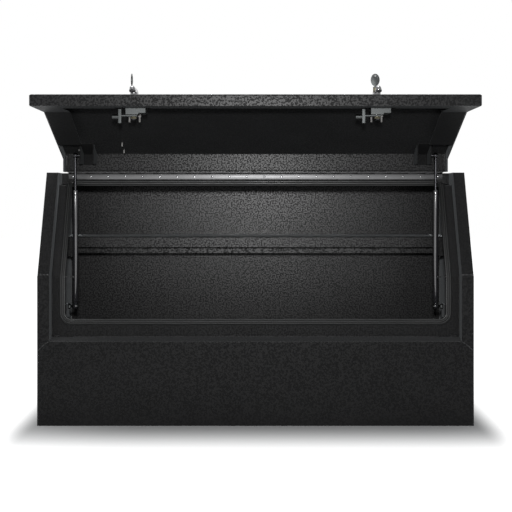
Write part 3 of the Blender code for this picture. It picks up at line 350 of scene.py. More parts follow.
def brushed_metal(name, setting, roughness):
    """Metal with fine lines along X."""
    colour = getattr(settings()[0], setting)
    tree, shader, effect = start_material(name, "Brushed lines", 900.0)
    feed(tree, shader, {
        "Base Color": blend(tree, shade(colour, 0.88), shade(colour, 1.1), effect["Stain"]),
        "Roughness": ramp(tree, effect["Lines"], *NOISE_SPAN, roughness - 0.06, roughness + 0.08),
        "Metallic": 1,
    })
    add_relief(tree, shader, effect["Lines"], 0.00004, 0.6)


def speckled(
    name, setting, roughness, tone=1.0, metallic=1.0, grain=500.0, relief=0.00001, vary=0.1, level=0.5,
):
    """A surface with a fine grain and slow patches, in a setting's colour made lighter or darker by tone."""
    colour = shade(getattr(settings()[0], setting), tone)
    tree, shader, effect = start_material(name, "Fine speckle", grain)
    feed(tree, shader, {
        "Base Color": blend(tree, shade(colour, 1 - vary), shade(colour, 1 + vary), effect["Patch"]),
        "Roughness": ramp(tree, effect["Patch"], *NOISE_SPAN, roughness * 0.9, roughness * 1.12),
        "Metallic": metallic,
        "Specular IOR Level": level,
    })
    add_relief(tree, shader, effect["Grain"], relief)


def shown_rays(tree):
    """1 for the rays that show the surround: seen straight, mirrored or through glass; 0 for those that light."""
    path = add_node(tree, "LightPath").outputs
    mirrored = maths(tree, "MAXIMUM", path["Is Camera Ray"], path["Is Glossy Ray"])
    return maths(tree, "MAXIMUM", mirrored, path["Is Transmission Ray"])


def studio_floor(name):
    """Pale studio floor that evens out to white in view away from the box, with a painted shadow of dimmer glow
    beside the box, and keeps the box's real soft shadow too.
    """
    finish, _, stage = settings()
    tree, shader, effect = start_material(name, "Fine speckle", 60.0)
    dark, pale = [shade(finish.floor_colour, amount) for amount in (0.99, 1.01)]
    feed(tree, shader, {
        "Base Color": blend(tree, dark, pale, effect["Patch"]), "Roughness": 0.9, "Specular IOR Level": 0,
    })
    distance = add_node(tree, "Group", node_tree=shader_group("Distance from the box"))
    feed(tree, distance, {
        "Vector": tree.nodes["Texture Coordinate"].outputs["Object"], "Reach": stage.shadow_reach,
    })
    # Painted shadow: the glow in view is dimmest at the box's foot.
    level = ramp(tree, distance.outputs["Open"], 0, 1, stage.painted_shadow_glow, stage.open_glow)
    glow = add_node(tree, "Emission", {"Color": maths(tree, "MULTIPLY", shown_rays(tree), level), "Strength": 1})
    both = add_node(tree, "AddShader", {0: shader.outputs[0], 1: glow.outputs[0]})
    feed(tree, tree.nodes["Material Output"], {"Surface": both.outputs[0]})


SMOOTH = 0.000004  # relief of polished metal
FINISHES = {
    "wrinkled_coat": (powder_coat, {}),
    # Painted top light: the front sheets' ledge, which looks up, is painted much lighter.
    "wrinkled_coat_front": (powder_coat, dict(lift=1.05, shine=0.24, roughness=0.36, top_light_and_dust=4.0)),
    "wrinkled_coat_rear": (powder_coat, dict(shine=0.86, roughness=0.345, top_light_and_dust=1.0, bloom=0.2)),
    # Painted light: the side walls' faces towards the middle are painted paler for the light that falls on them at
    # a flat angle.
    "wrinkled_coat_sides": (powder_coat, dict(shine=0.3, roughness=0.36, bloom=1.2, painted_light_inside=3.2)),
    "wrinkled_coat_lid": (powder_coat, dict(shine=0.55, roughness=0.33)),
    "wrinkled_coat_shaded": (powder_coat, dict(lift=0.9, shine=0.08, top_light_and_dust=1.0, bloom=0.3)),
    "wrinkled_coat_inside": (powder_coat, dict(shine=0.12, top_light_and_dust=1.0, bloom=0.4)),
    "coated_weld": (powder_coat, dict(lift=1.6, shine=1.0)),
    "brushed_stainless": (brushed_metal, dict(setting="steel_colour", roughness=0.42)),
    "knuckle_steel": (speckled, dict(setting="steel_colour", roughness=0.40, tone=0.22)),
    "rivet_steel": (speckled, dict(setting="steel_colour", roughness=0.20, tone=1.3, relief=SMOOTH, vary=0.05)),
    "bright_zinc": (speckled, dict(setting="zinc_colour", roughness=0.44, relief=0.00002, vary=0.18)),
    "bare_thread": (speckled, dict(setting="thread_colour", roughness=0.45, metallic=0.0, grain=700.0)),
    "polished_chrome": (
        speckled, dict(setting="chrome_colour", roughness=0.12, grain=300.0, relief=SMOOTH, vary=0.04),
    ),
    "hardened_rod": (speckled, dict(setting="rod_colour", roughness=0.34, grain=300.0, relief=SMOOTH, vary=0.05)),
    "satin_brass": (speckled, dict(setting="brass_colour", roughness=0.40, grain=700.0, vary=0.15)),
    "matt_rubber": (speckled, dict(
        setting="rubber_colour", roughness=0.38, metallic=0.0, grain=1500.0, relief=0.00004, vary=0.15, level=0.35,
    )),
    "gloss_paint": (speckled, dict(setting="tube_colour", roughness=0.17, metallic=0.0, vary=0.08, level=1.0)),
    "studio_floor": (studio_floor, {}),
}


def finish_named(name):
    """The named material, made the first time that it is asked for."""
    if name not in bpy.data.materials:
        make, values = FINISHES[name]
        make(name, **values)
    return bpy.data.materials[name]


# Shaping

def merged_copy(node):
    """A bmesh of a CAD node with its loose triangles merged into flat faces without inner corners."""
    form = bmesh.new()
    form.from_mesh(frame["nodes"][node].data)
    bmesh.ops.remove_doubles(form, verts=form.verts, dist=MERGE)
    bmesh.ops.dissolve_limit(form, angle_limit=math.radians(0.4), verts=form.verts, edges=form.edges)
    bmesh.ops.connect_verts_concave(form, faces=form.faces)
    return form


def sharp_edges(form, angle):
    """The edges of a form whose two faces meet at more than an angle in degrees."""
    return [e for e in form.edges if len(e.link_faces) == 2 and math.degrees(e.calc_face_angle(0)) > angle]


def is_fold(edge, low, high):
    """True if an edge joins two wide faces at an angle in degrees between low and high."""
    if len(edge.link_faces) != 2:
        return False
    if not low < math.degrees(edge.calc_face_angle(0)) < high:
        return False
    length = edge.calc_length()
    return length > WIDE_FACE and all(face.calc_area() / length > WIDE_FACE for face in edge.link_faces)


def round_edges(form, edges, offset, segments=2):
    """Bevel some edges of a form."""
    if edges:
        bmesh.ops.bevel(
            form, geom=edges, offset=offset, segments=segments, profile=0.5, affect="EDGES", material=-1,
            clamp_overlap=True,
        )


def round_sheet(form):
    """Round the folds of a sheet, wide outside and tight inside, and then its cut edges."""
    detail = settings()[1]
    for low, high, usual in ((50, 100, 90), (10, 50, 23)):
        bend = math.tan(math.radians(usual) / 2)
        for convex, radius in ((True, detail.outer_fold), (False, detail.inner_fold)):
            edges = [e for e in form.edges if is_fold(e, low, high) and e.is_convex == convex]
            round_edges(form, edges, radius * bend, 4)
    round_edges(form, sharp_edges(form, 50), detail.edge_round)


def softened(node, amount, segments=2):
    """A CAD node's form with every sharp edge rounded."""
    form = merged_copy(node)
    round_edges(form, sharp_edges(form, 40), amount, segments)
    return form


def add_piece(name, form, finish, body, slot, replaced=(), smooth=40, flat=False):
    """Make the object of a form: finished, riding on its body and standing for the CAD nodes that it replaces.

    Edges over the smooth angle stay sharp; flat keeps wide faces flat beside their rounded edges.
    """
    data = bpy.data.meshes.new(name)
    form.to_mesh(data)
    form.free()
    data.shade_smooth()
    data.set_sharp_from_angle(angle=math.radians(smooth))
    data.materials.append(finish_named(finish))
    piece = bpy.data.objects.new(name, data)
    bpy.context.scene.collection.objects.link(piece)
    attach(piece, body)
    if replaced:
        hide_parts(*replaced)
    if flat:
        weighted = piece.modifiers.new("flat_faces", "WEIGHTED_NORMAL")
        weighted.keep_sharp = True
        weighted.weight = 100


def dress(node, kind, form, finish, body, slot, **shading):
    """Make the piece that stands for one CAD node and is named after it."""
    add_piece(f"{node}_{kind}", form, finish, body, slot, (node,), **shading)


def place_matrix(place, across, out):
    """A matrix that sets X along across, Y along out and Z square to both; a mitred out is longer than one."""
    turn = Matrix((across, out, across.cross(out).normalized())).transposed().to_4x4()
    return Matrix.Translation(place) @ turn


def pointing(place, direction):
    """A matrix that stands a Z-up form at a place with its top along a direction."""
    turn = Vector(direction).to_track_quat("Z", "Y").to_matrix().to_4x4()
    return Matrix.Translation(place) @ turn


def sweep(form, section, stations):
    """Extrude a section, drawn in XY, along a list of matrices and close both ends."""
    ring = [form.verts.new((x, y, 0)) for x, y in section]
    edges = [form.edges.new((a, b)) for a, b in zip(ring, ring[1:] + ring[:1])]
    bmesh.ops.transform(form, matrix=stations[0], verts=ring)
    bmesh.ops.contextual_create(form, geom=edges)
    for before, after in zip(stations, stations[1:]):
        grown = bmesh.ops.extrude_edge_only(form, edges=edges)["geom"]
        ring = [item for item in grown if isinstance(item, bmesh.types.BMVert)]
        fresh = set(ring)
        edges = [
            item for item in grown if isinstance(item, bmesh.types.BMEdge) and fresh.issuperset(item.verts)
        ]
        bmesh.ops.transform(form, matrix=after @ before.inverted(), verts=ring)
    bmesh.ops.contextual_create(form, geom=edges)


def spin_piece(profile, matrix, steps):
    """Spin (radius, height) points about Z into a closed body and place it by a matrix."""
    form = bmesh.new()
    points = [form.verts.new((radius, 0, height)) for radius, height in profile]
    edges = [form.edges.new(pair) for pair in zip(points, points[1:])]
    bmesh.ops.spin(
        form, geom=points + edges, cent=(0, 0, 0), axis=(0, 0, 1), angle=math.tau, steps=steps, use_merge=True,
    )
    bmesh.ops.remove_doubles(form, verts=form.verts, dist=0.000002)
    bmesh.ops.recalc_face_normals(form, faces=form.faces)
    bmesh.ops.transform(form, matrix=matrix, verts=form.verts)
    return form


def join_form(target, other):
    """Move the contents of another form into a target form."""
    data = bpy.data.meshes.new("part")
    other.to_mesh(data)
    other.free()
    target.from_mesh(data)
    bpy.data.meshes.remove(data)


def place_disc(form, centre, axis, radius, length, steps, soften=0.0003):
    """Add a short round body with softened rims, centred at a point along an axis."""
    made = set(bmesh.ops.create_cone(
        form, cap_ends=True, segments=steps, radius1=radius, radius2=radius, depth=length,
        matrix=pointing(centre, axis),
    )["verts"])
    rims = [e for e in form.edges if made.issuperset(e.verts) and e.calc_face_angle(0) > 1]
    round_edges(form, rims, soften)


def place_block(form, low, high, soften):
    """Add a box between two corners with rounded edges."""
    low, high = Vector(low), Vector(high)
    matrix = Matrix.Translation((low + high) / 2) @ Matrix.Diagonal((*(high - low), 1))
    made = set(bmesh.ops.create_cube(form, size=1, matrix=matrix)["verts"])
    round_edges(form, [e for e in form.edges if made.issuperset(e.verts)], soften)


def add_domes(form, places, out, radius, height):
    """Add a domed rivet head at each place, standing out along a direction."""
    steps, rim, sink = 7, height * 0.25, 0.0002
    angles = [math.pi / 2 * step / steps for step in range(1, steps + 1)]
    dome = [(radius * math.sin(angle), rim + (height - rim) * math.cos(angle)) for angle in angles]
    profile = [(0, height), *dome, (radius, -sink), (0, -sink)]
    for place in places:
        join_form(form, spin_piece(profile, pointing(place, out), 20))


def thread(crest, root, start, end, pitch):
    """The profile of a threaded shank, from its far end to its near end."""
    points = [(0, end), (root, end)]
    for index in range(int((end - start) / pitch)):
        height = end - pitch * (index + 0.5)
        points += [(crest, height), (root, height - pitch * 0.5)]
    return points + [(root, start), (0, start)]


def hex_nut(foot, out, radius, tall):
    """A chamfered six-sided nut standing from its foot along a direction."""
    form = bmesh.new()
    bmesh.ops.create_cone(
        form, cap_ends=True, segments=6, radius1=radius, radius2=radius, depth=tall,
        matrix=pointing(Vector(foot) + Vector(out) * (tall / 2), out),
    )
    rims = [e for e in form.edges if len({len(f.verts) for f in e.link_faces}) == 2]
    round_edges(form, rims, radius * 0.09)
    return form


def soft_square(half_wide, half_tall, corner):
    """A rectangle's section with round corners."""
    points, steps = [], 6
    for quarter, (x, y) in enumerate(((1, 1), (-1, 1), (-1, -1), (1, -1))):
        centre = Vector((x * (half_wide - corner), y * (half_tall - corner)))
        for step in range(steps + 1):
            angle = math.pi / 2 * (quarter + step / steps)
            points.append(tuple(centre + Vector((math.cos(angle), math.sin(angle))) * corner))
    return points


# Folded sheets

def sheet_piece(node, body, coat):
    """A folded sheet with round folds and edges in place of its CAD node."""
    form = merged_copy(node)
    round_sheet(form)
    dress(node, "sheet", form, coat, body, "powder_coat", flat=True)


class BuildSheets(bpy.types.Operator):
    """Dress every folded sheet of the box and lid with round folds and softened edges"""

    bl_idname = "storage_box.sheets"
    bl_label = "Folded sheets"

    def execute(self, context):
        """Replace each sheet's node."""
        for node, coat in (
            ("floor_panel", "wrinkled_coat"), ("rear_panel", "wrinkled_coat_rear"),
            ("top_panel", "wrinkled_coat"), ("front_panel", "wrinkled_coat_front"),
            ("shelf", "wrinkled_coat_rear"), ("shelf_stiffener", "wrinkled_coat_rear"),
        ):
            sheet_piece(node, "box", coat)
        for side in SIDES:
            for node, body, coat in (
                ("side_panel", "box", "wrinkled_coat_sides"), ("jamb", "box", "wrinkled_coat_front"),
                ("shelf_bracket", "box", "wrinkled_coat"), ("strut_bracket_lower", "box", "wrinkled_coat"),
                ("lid_return", "lid", "wrinkled_coat_inside"),
                ("strut_bracket_upper", "lid", "wrinkled_coat_shaded"),
            ):
                sheet_piece(f"{node}_{side}", body, coat)
        sheet_piece("lid_skin", "lid", "wrinkled_coat_lid")
        sheet_piece("lid_return_bottom", "lid", "wrinkled_coat_inside")
        return {"FINISHED"}


# Welds

def add_bead(form, start, end, out, width, height, bow=0.0):
    """A rippled weld bead from one point to another on a surface that faces out."""
    start, end, out = Vector(start), Vector(end), Vector(out).normalized()
    run = end - start
    across = out.cross(run).normalized()
    count = max(3, round(run.length / settings()[1].weld_pitch) * 2)
    stations = []
    for step in range(count + 1):
        share = step / count
        swell = 0.45 if step in (0, count) else 1.0 if step % 2 else 0.86
        centre = start + run * share + across * (bow * math.sin(math.pi * share))
        stations.append(place_matrix(centre, across, out) @ Matrix.Diagonal((swell, swell, 1, 1)))
    steps, sink = 8, height * 0.6
    arc = [math.pi * step / steps for step in range(steps + 1)]
    section = [(math.cos(angle) * width / 2, math.sin(angle) * height) for angle in arc]
    sweep(form, section + [(-width / 2, -sink), (width / 2, -sink)], stations)


def box_welds(form):
    """Welds at the mitred corners, the kinks of both flanges and the joints of the recess."""
    flange, side = [corner.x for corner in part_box("side_panel_right")]
    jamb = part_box("jamb_right")[0].x
    ledge, drop = 0.232, 0.027
    front = Vector((0, -1, 0))
    kink_out = front + SLOPE_OUT
    for sign in SIDES.values():
        mitre = [
            (sign * (flange + 0.001), FRONT_Y - 0.0001, ledge - 0.001),
            (sign * (side - 0.001), FRONT_Y - 0.0001, ledge - drop),
        ]
        add_bead(form, *mitre, front, 0.0035, 0.0006, bow=sign * 0.002)
        kink = [(sign * x, FRONT_Y + 0.0002, KINK.z) for x in (flange + 0.001, side - 0.002)]
        add_bead(form, *kink, kink_out, 0.004, 0.0008)
        for near, far in ((0, 0.012), (0.020, 0.027)):
            kink = [(sign * (jamb + x), FRONT_Y + RECESS - SHEET, KINK.z - 0.008) for x in (near, far)]
            add_bead(form, *kink, kink_out, 0.004, 0.0008)
        sill = [(sign * 0.552 + x, FRONT_Y + 0.0335, 0.2425) for x in (-0.007, 0.007)]
        add_bead(form, *sill, (0, -1, 1), 0.005, 0.0016)
        corner = [(sign * (flange - 0.0004), FRONT_Y + 0.0330, z) for z in (0.245, 0.265)]
        add_bead(form, *corner, (-sign, -1, 0), 0.004, 0.001)


def inside_welds(form):
    """Stitch welds where the floor, rear and sides meet inside the box."""
    detail = settings()[1]
    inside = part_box("floor_panel")[1]
    half, pitch, floor_top = 0.015, 0.16, 0.0026
    count = int((inside.x - 0.06) / pitch)
    stitches = [
        ((index * pitch, inside.y, floor_top), (half, 0, 0), (0, -1, 1)) for index in range(-count, count + 1)
    ]
    for sign in SIDES.values():
        x = sign * (inside.x + 0.0002)
        stitches += [((x, y, floor_top), (0, half, 0), (-sign, 0, 1)) for y in (-0.15, 0, 0.15)]
        stitches += [
            ((x, inside.y, 0.10 + index * pitch), (0, 0, half), (-sign, -1, 0)) for index in range(4)
        ]
    for middle, reach, out in stitches:
        ends = Vector(middle) - Vector(reach), Vector(middle) + Vector(reach)
        add_bead(form, *ends, out, detail.weld_width, detail.weld_height)


def turned_way(way):
    """A direction of the closed lid, as it points when the lid stands open at a right angle."""
    return Vector((way[0], way[2], -way[1]))


def turned_with_lid(place):
    """Where a place of the closed lid lies when the lid stands open."""
    return HINGE + turned_way(Vector(place) - HINGE)


def lid_welds(form):
    """Welds across the lid's side flanges at its bends and at the corners of its lip."""
    lid_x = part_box("lid_skin")[1].x
    lip_z = 0.2416
    for sign in SIDES.values():
        flange = Vector((sign * (lid_x + 0.0001), 0, 0))
        for corner, inward in ((KINK, Vector((0, 1, -0.25))), (SHOULDER, Vector((0, 0.35, -1)))):
            ends = [turned_with_lid(flange + corner + inward * depth) for depth in (0.003, 0.027)]
            add_bead(form, *ends, (sign, 0, 0), 0.004, 0.0007)
        ends = [turned_with_lid((sign * (lid_x - 0.0006), FRONT_Y + y, lip_z)) for y in (0.002, 0.028)]
        add_bead(form, *ends, turned_way((sign, 0, -1)), 0.004, 0.001)


class BuildWelds(bpy.types.Operator):
    """Lay the weld beads of the box and the lid"""

    bl_idname = "storage_box.welds"
    bl_label = "Welds"

    def execute(self, context):
        """Make one piece of beads for each body."""
        for body, makers in (("box", (box_welds, inside_welds)), ("lid", (lid_welds,))):
            form = bmesh.new()
            for maker in makers:
                maker(form)
            bmesh.ops.recalc_face_normals(form, faces=form.faces)
            add_piece(f"{body}_welds", form, "coated_weld", body, "powder_coat", smooth=60)
        return {"FINISHED"}


# Seal

SEAL_CLIP = 0.011  # how far the seal reaches beside the edge that it is pushed on
SEAL_CREST = 0.00745
# The pressing face: the distance from the clip's rim, and the height as a share of the crest
SEAL_RIDGES = (
    (-0.0002, 0.52), (0.0008, 0.86), (0.0022, 0.97), (0.0031, 0.82), (0.0038, 0.54), (0.0050, 0.54),
    (0.0057, 0.86), (0.0070, 1.0), (0.0083, 0.86), (0.0090, 0.54), (0.0102, 0.54), (0.0109, 0.82),
    (0.0120, 0.97), (0.0134, 0.84), (0.0140, 0.52),
)


def seal_section():
    """The seal's section: a ridged pressing face over a clip with a slot for the sheet's edge."""
    slot, skin, back, nose, lip, slot_end = 0.00155, 0.00355, -0.00355, 0.003, 0.005, 0.0003
    return [
        (-SEAL_CLIP, slot), (-SEAL_CLIP, skin),
        *[(x - SEAL_CLIP, share * SEAL_CREST) for x, share in SEAL_RIDGES],
        (lip - 0.0006, skin), (lip, skin - 0.0008), (lip, -slot), (nose, back), (-SEAL_CLIP, back),
        (-SEAL_CLIP, -slot), (slot_end, -slot), (slot_end, slot),
    ]


def door_path():
    """The stations of the door seal: down the right jamb, round the sill's corner and mirrored up the left."""
    low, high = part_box("door_seal")
    corner, steps, depth = 0.022, 12, RECESS - SHEET / 2
    edge_x, sill = high.x - SEAL_CLIP, low.z + SEAL_CLIP
    front, up = Vector((0, -1, 0)), Vector((0, 0, 1))
    kink_out, shoulder_out = [(a + b) / (1 + a.dot(b)) for a, b in ((front, SLOPE_OUT), (SLOPE_OUT, up))]
    shoulder = SHOULDER - shoulder_out * depth
    end = Vector((0, high.y - 0.0001, shoulder.z))
    stations = [
        (place + Vector((edge_x, 0, 0)), Vector((-1, 0, 0)), out)
        for place, out in ((end, up), (shoulder, shoulder_out), (KINK - kink_out * depth, kink_out))
    ]
    centre = Vector((edge_x - corner, FRONT_Y + depth, sill + corner))
    for step in range(steps + 1):
        angle = math.pi / 2 * step / steps
        spoke = Vector((math.cos(angle), 0, -math.sin(angle)))
        stations.append((centre + spoke * corner, -spoke, front))
    flip = Matrix.Diagonal((-1, 1, 1))
    stations += [(flip @ place, flip @ across, out) for place, across, out in stations[::-1]]
    return [place_matrix(*station) for station in stations]


def top_paths():
    """The stations of the top seal's two lengths, which meet with a fine gap."""
    low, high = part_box("door_seal_top")
    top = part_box("top_panel")[0]
    joint, half_gap = settings()[1].seal_joint, 0.0006
    return [
        [
            place_matrix(Vector((x, top.y + SHEET / 2, top.z)), Vector((0, 0, -1)), Vector((0, -1, 0)))
            for x in ends
        ]
        for ends in ((low.x, joint - half_gap), (joint + half_gap, high.x))
    ]


class BuildSeal(bpy.types.Operator):
    """Sweep the ridged rubber seal round the opening and along the top"""

    bl_idname = "storage_box.seal"
    bl_label = "Door seal"

    def execute(self, context):
        """Replace both seal nodes."""
        for node, paths in (("door_seal", [door_path()]), ("door_seal_top", top_paths())):
            form = bmesh.new()
            for stations in paths:
                sweep(form, seal_section(), stations)
            bmesh.ops.recalc_face_normals(form, faces=form.faces)
            dress(node, "ridged", form, "matt_rubber", "box", "rubber", smooth=50)
        return {"FINISHED"}


# Hinge; each leaf is made hanging from an axis along X at the origin and then placed

LEAF_NEAR, LEAF_THICK, LEAF_DROP, LEAF_TALL = 0.0015, 0.0012, 0.0032, 0.018


def hinge_leaf():
    """The flat of a leaf."""
    low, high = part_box("hinge_pin")
    form = bmesh.new()
    place_block(form, (low.x, LEAF_NEAR, -LEAF_TALL), (high.x, LEAF_NEAR + LEAF_THICK, -LEAF_DROP), 0.0003)
    return form


def hinge_rivets():
    """The domed rivet heads of a leaf, spread evenly about the middle."""
    pitch, end, height = 0.051, 0.0064, 0.0075
    count = int(2 * (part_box("hinge_pin")[1].x - end) / pitch)
    form = bmesh.new()
    places = [(pitch * (index - count / 2), LEAF_NEAR, height - LEAF_TALL) for index in range(count + 1)]
    add_domes(form, places, (0, -1, 0), 0.0032, 0.0012)
    return form


def hinge_knuckles():
    """Every second rolled knuckle and its neck; the lid's leaf is turned end for end, so its own lie between."""
    low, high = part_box("hinge_pin")
    count, radius, half_gap = 22, 0.0027, 0.00025
    pitch = (high.x - low.x) / count
    form = bmesh.new()
    for index in range(0, count, 2):
        start = low.x + pitch * index + half_gap
        stop = start + pitch - 2 * half_gap
        place_block(form, (start, LEAF_NEAR, -LEAF_DROP - 0.0005), (stop, LEAF_NEAR + LEAF_THICK, 0), 0.0002)
        place_disc(form, ((start + stop) / 2, 0, 0), (1, 0, 0), radius, stop - start, 24)
    return form


class BuildHinge(bpy.types.Operator):
    """Make the piano hinge with its rolled knuckles, pin and domed rivets"""

    bl_idname = "storage_box.hinge"
    bl_label = "Piano hinge"

    def execute(self, context):
        """Replace both leaves and the pin."""
        axis = Matrix.Translation(HINGE)
        turned = axis @ Matrix.Rotation(-math.pi / 2, 4, "X") @ Matrix.Rotation(math.pi, 4, "Z")
        for body, place in (("box", axis), ("lid", turned)):
            node = f"hinge_leaf_{body}"
            for kind, maker, finish, replaced in (
                ("flat", hinge_leaf, "brushed_stainless", (node,)),
                ("knuckles", hinge_knuckles, "knuckle_steel", ()),
                ("rivets", hinge_rivets, "rivet_steel", ()),
            ):
                form = maker()
                bmesh.ops.transform(form, matrix=place, verts=form.verts)
                add_piece(f"{node}_{kind}", form, finish, body, "stainless", replaced)
        low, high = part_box("hinge_pin")
        form = bmesh.new()
        place_disc(form, (low + high) / 2, (1, 0, 0), (high.z - low.z) / 2, high.x - low.x, 16)
        dress("hinge_pin", "round", form, "brushed_stainless", "box", "stainless")
        return {"FINISHED"}


# Struts and their studs

def strut_eye(form, place):
    """Add the flat round eye at one end of a strut."""
    place_disc(form, place, (1, 0, 0), 0.008, 0.009, 32, 0.0012)


def build_tube(side, foot, reach):
    """The strut's tube with its grooved neck, waisted foot and lower eye."""
    node, radius, neck = f"strut_tube_{side}", 0.0075, 0.0066
    form = spin_piece([
        (0, reach - 0.0004), (0.0044, reach - 0.0004), (0.0050, reach), (0.0060, reach),
        (radius - 0.0002, reach - 0.0009), (radius, reach - 0.0018), (radius, reach - 0.0110),
        (neck, reach - 0.0118), (neck, reach - 0.0128), (radius, reach - 0.0136),
        (radius, 0.0150), (radius - 0.0005, 0.0140), (0.0055, 0.0125), (0.0050, 0.0105), (0.0046, 0.0070),
        (0, 0.0066),
    ], Matrix.Translation(foot), 48)
    strut_eye(form, foot)
    dress(node, "turned", form, "gloss_paint", node, "black_paint")


def build_rod(side, sign, foot, reach):
    """The strut's rod with its collar, upper eye and the pin that reaches to the lid's bracket."""
    node, radius, collar, hidden = f"strut_rod_{side}", 0.0040, 0.0048, 0.02
    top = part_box(node)[1].z - 0.008
    length = top - foot.z
    form = spin_piece([
        (0, length - 0.006), (radius, length - 0.006), (radius, length - 0.014), (collar, length - 0.0145),
        (collar, length - 0.019), (radius, length - 0.0195), (radius, reach - hidden), (0, reach - hidden),
    ], Matrix.Translation(foot), 40)
    strut_eye(form, (foot.x, foot.y, top))
    near, far = abs(foot.x) - 0.0167, abs(foot.x) + 0.0057
    place_disc(form, (sign * (near + far) / 2, foot.y, top), (1, 0, 0), radius, far - near, 24, 0.0006)
    dress(node, "turned", form, "hardened_rod", node, "chrome")


def build_foot_stud(side, sign, foot):
    """The threaded stud and its nut in the lower bracket."""
    node, radius, root, pitch = f"strut_stud_lower_{side}", 0.004, 0.0034, 0.0010
    inner, outer = sorted(abs(corner.x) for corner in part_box(node))
    plate = min(abs(corner.x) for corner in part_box(f"strut_bracket_lower_{side}")) - 0.0003
    smooth_end = abs(foot.x) + 0.0062
    form = bmesh.new()
    middle = (sign * (inner + smooth_end) / 2, foot.y, foot.z)
    place_disc(form, middle, (1, 0, 0), radius, smooth_end - inner, 24, 0.0006)
    shank = thread(radius, root, smooth_end, outer, pitch)
    join_form(form, spin_piece(shank, pointing((0, foot.y, foot.z), (sign, 0, 0)), 24))
    join_form(form, hex_nut((sign * plate, foot.y, foot.z), (-sign, 0, 0), 0.0075, 0.0075))
    dress(node, "cut", form, "bright_zinc", "box", "zinc")


class BuildStruts(bpy.types.Operator):
    """Turn the gas struts' tubes and rods, their eyes, studs and nuts"""

    bl_idname = "storage_box.struts"
    bl_label = "Gas struts"

    def execute(self, context):
        """Replace both struts and their studs."""
        for side, sign in SIDES.items():
            foot = joint_place(f"strut_swing_{side}")
            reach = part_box(f"strut_tube_{side}")[1].z - foot.z
            build_tube(side, foot, reach)
            build_rod(side, sign, foot, reach)
            build_foot_stud(side, sign, foot)
        return {"FINISHED"}


# Locks

DOWN = (0, 0, -1)
UP = (0, 0, 1)


def build_case(side):
    """The pressed case with its rounded corners and two rivets, and the outside plate with four."""
    inset = 0.008
    node = f"lock_case_{side}"
    form = softened(node, 0.0009, 3)
    low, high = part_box(node)
    rivets = [(high.x - 0.006, y, low.z + 0.004) for y in (low.y + inset, high.y - inset)]
    add_domes(form, rivets, DOWN, 0.0022, 0.0010)
    dress(node, "pressed", form, "bright_zinc", "lid", "zinc", flat=True)
    node = f"lock_plate_{side}"
    form = softened(node, 0.0008, 3)
    low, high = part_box(node)
    rivets = [(x, y, high.z) for x in (low.x + 0.007, high.x - 0.007) for y in (low.y + inset, high.y - inset)]
    add_domes(form, rivets, UP, 0.0036, 0.0016)
    dress(node, "rounded", form, "brushed_stainless", "lid", "stainless", flat=True)


def build_bolts(side):
    """The threaded bolts with their nuts on the case."""
    radius, root, pitch, plain, steps = 0.0025, 0.0021, 0.0008, 0.004, 20
    case_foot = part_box(f"lock_case_{side}")[0].z
    for place in ("outer", "inner"):
        node = f"lock_bolt_{side}_{place}"
        low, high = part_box(node)
        x, y = ((low + high) / 2).xy
        shank = thread(radius, root, 0, high.z - low.z - plain, pitch)
        form = spin_piece(shank, pointing((x, y, high.z - plain), DOWN), steps)
        place_disc(form, (x, y, high.z - plain / 2), UP, radius, plain, steps)
        join_form(form, hex_nut((x, y, case_foot - 0.0002), DOWN, 0.0040, 0.0026))
        dress(node, "threaded", form, "bare_thread", "lid", "zinc")


def handle_bar(form, centre, half_long):
    """Add the handle's bar, waisted in its middle, round at its ends and narrower at its top."""
    half_wide, half_tall, corner, steps, round_from = 0.010, 0.0085, 0.0060, 24, 0.80
    stations = []
    for step in range(steps + 1):
        share = -1 + 2 * step / steps
        ends = math.sqrt(max(0.04, 1 - max(0, (abs(share) - round_from) / (1 - round_from)) ** 2))
        waist = 0.86 + 0.14 * min(1, abs(share) * 1.6) ** 2
        place = Matrix.Translation(centre + Vector((0, half_long * share, 0)))
        size = Matrix.Diagonal((waist * ends, 0.97 * ends, 1, 1))
        stations.append(place @ Matrix.Rotation(math.pi / 2, 4, "X") @ size)
    square = soft_square(half_wide, half_tall, corner)
    sweep(form, [(x * (0.74 - 0.26 * y / half_tall), y) for x, y in square], stations)


def build_handle(side):
    """The chromed turn handle: a bar on a collared stem, the threaded spindle and a ring round the cylinder."""
    node = f"lock_handle_{side}"
    low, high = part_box(node)
    centre = joint_place(f"lock_turn_{side}")
    upright = Matrix.Translation((centre.x, centre.y, 0))
    top, foot = high.z, high.z - 0.017
    shaft, root, pitch, ring = 0.006, 0.0053, 0.00125, 0.0059
    thread_top = low.z + 0.012
    form = bmesh.new()
    handle_bar(form, Vector((centre.x, centre.y, (top + foot) / 2)), (high.y - low.y) / 2)
    join_form(form, spin_piece([
        (0, foot + 0.003), (0.0090, foot + 0.003), (0.0088, foot - 0.002), (0.0090, foot - 0.0045),
        (0.0097, foot - 0.0060), (0.0099, foot - 0.0066), (0.0098, foot - 0.0074), (0, foot - 0.0076),
    ], upright, 48))
    shank = [(0, foot - 0.0070), (shaft, foot - 0.0070), (shaft, thread_top), (0, thread_top)]
    join_form(form, spin_piece(shank, upright, 32))
    screw = thread(shaft, root, 0, thread_top - low.z, pitch)
    join_form(form, spin_piece(screw, pointing((centre.x, centre.y, thread_top), DOWN), 32))
    barrel = joint_place(f"cylinder_turn_{side}")
    join_form(form, spin_piece([
        (0, top + 0.0001), (0.0050, top + 0.0001), (0.0057, top + 0.0001), (ring, top - 0.0003),
        (ring, top - 0.002), (0, top - 0.002),
    ], Matrix.Translation((barrel.x, barrel.y, 0)), 40))
    bmesh.ops.recalc_face_normals(form, faces=form.faces)
    dress(node, "cast", form, "polished_chrome", f"lock_spindle_{side}", "chrome", smooth=50)


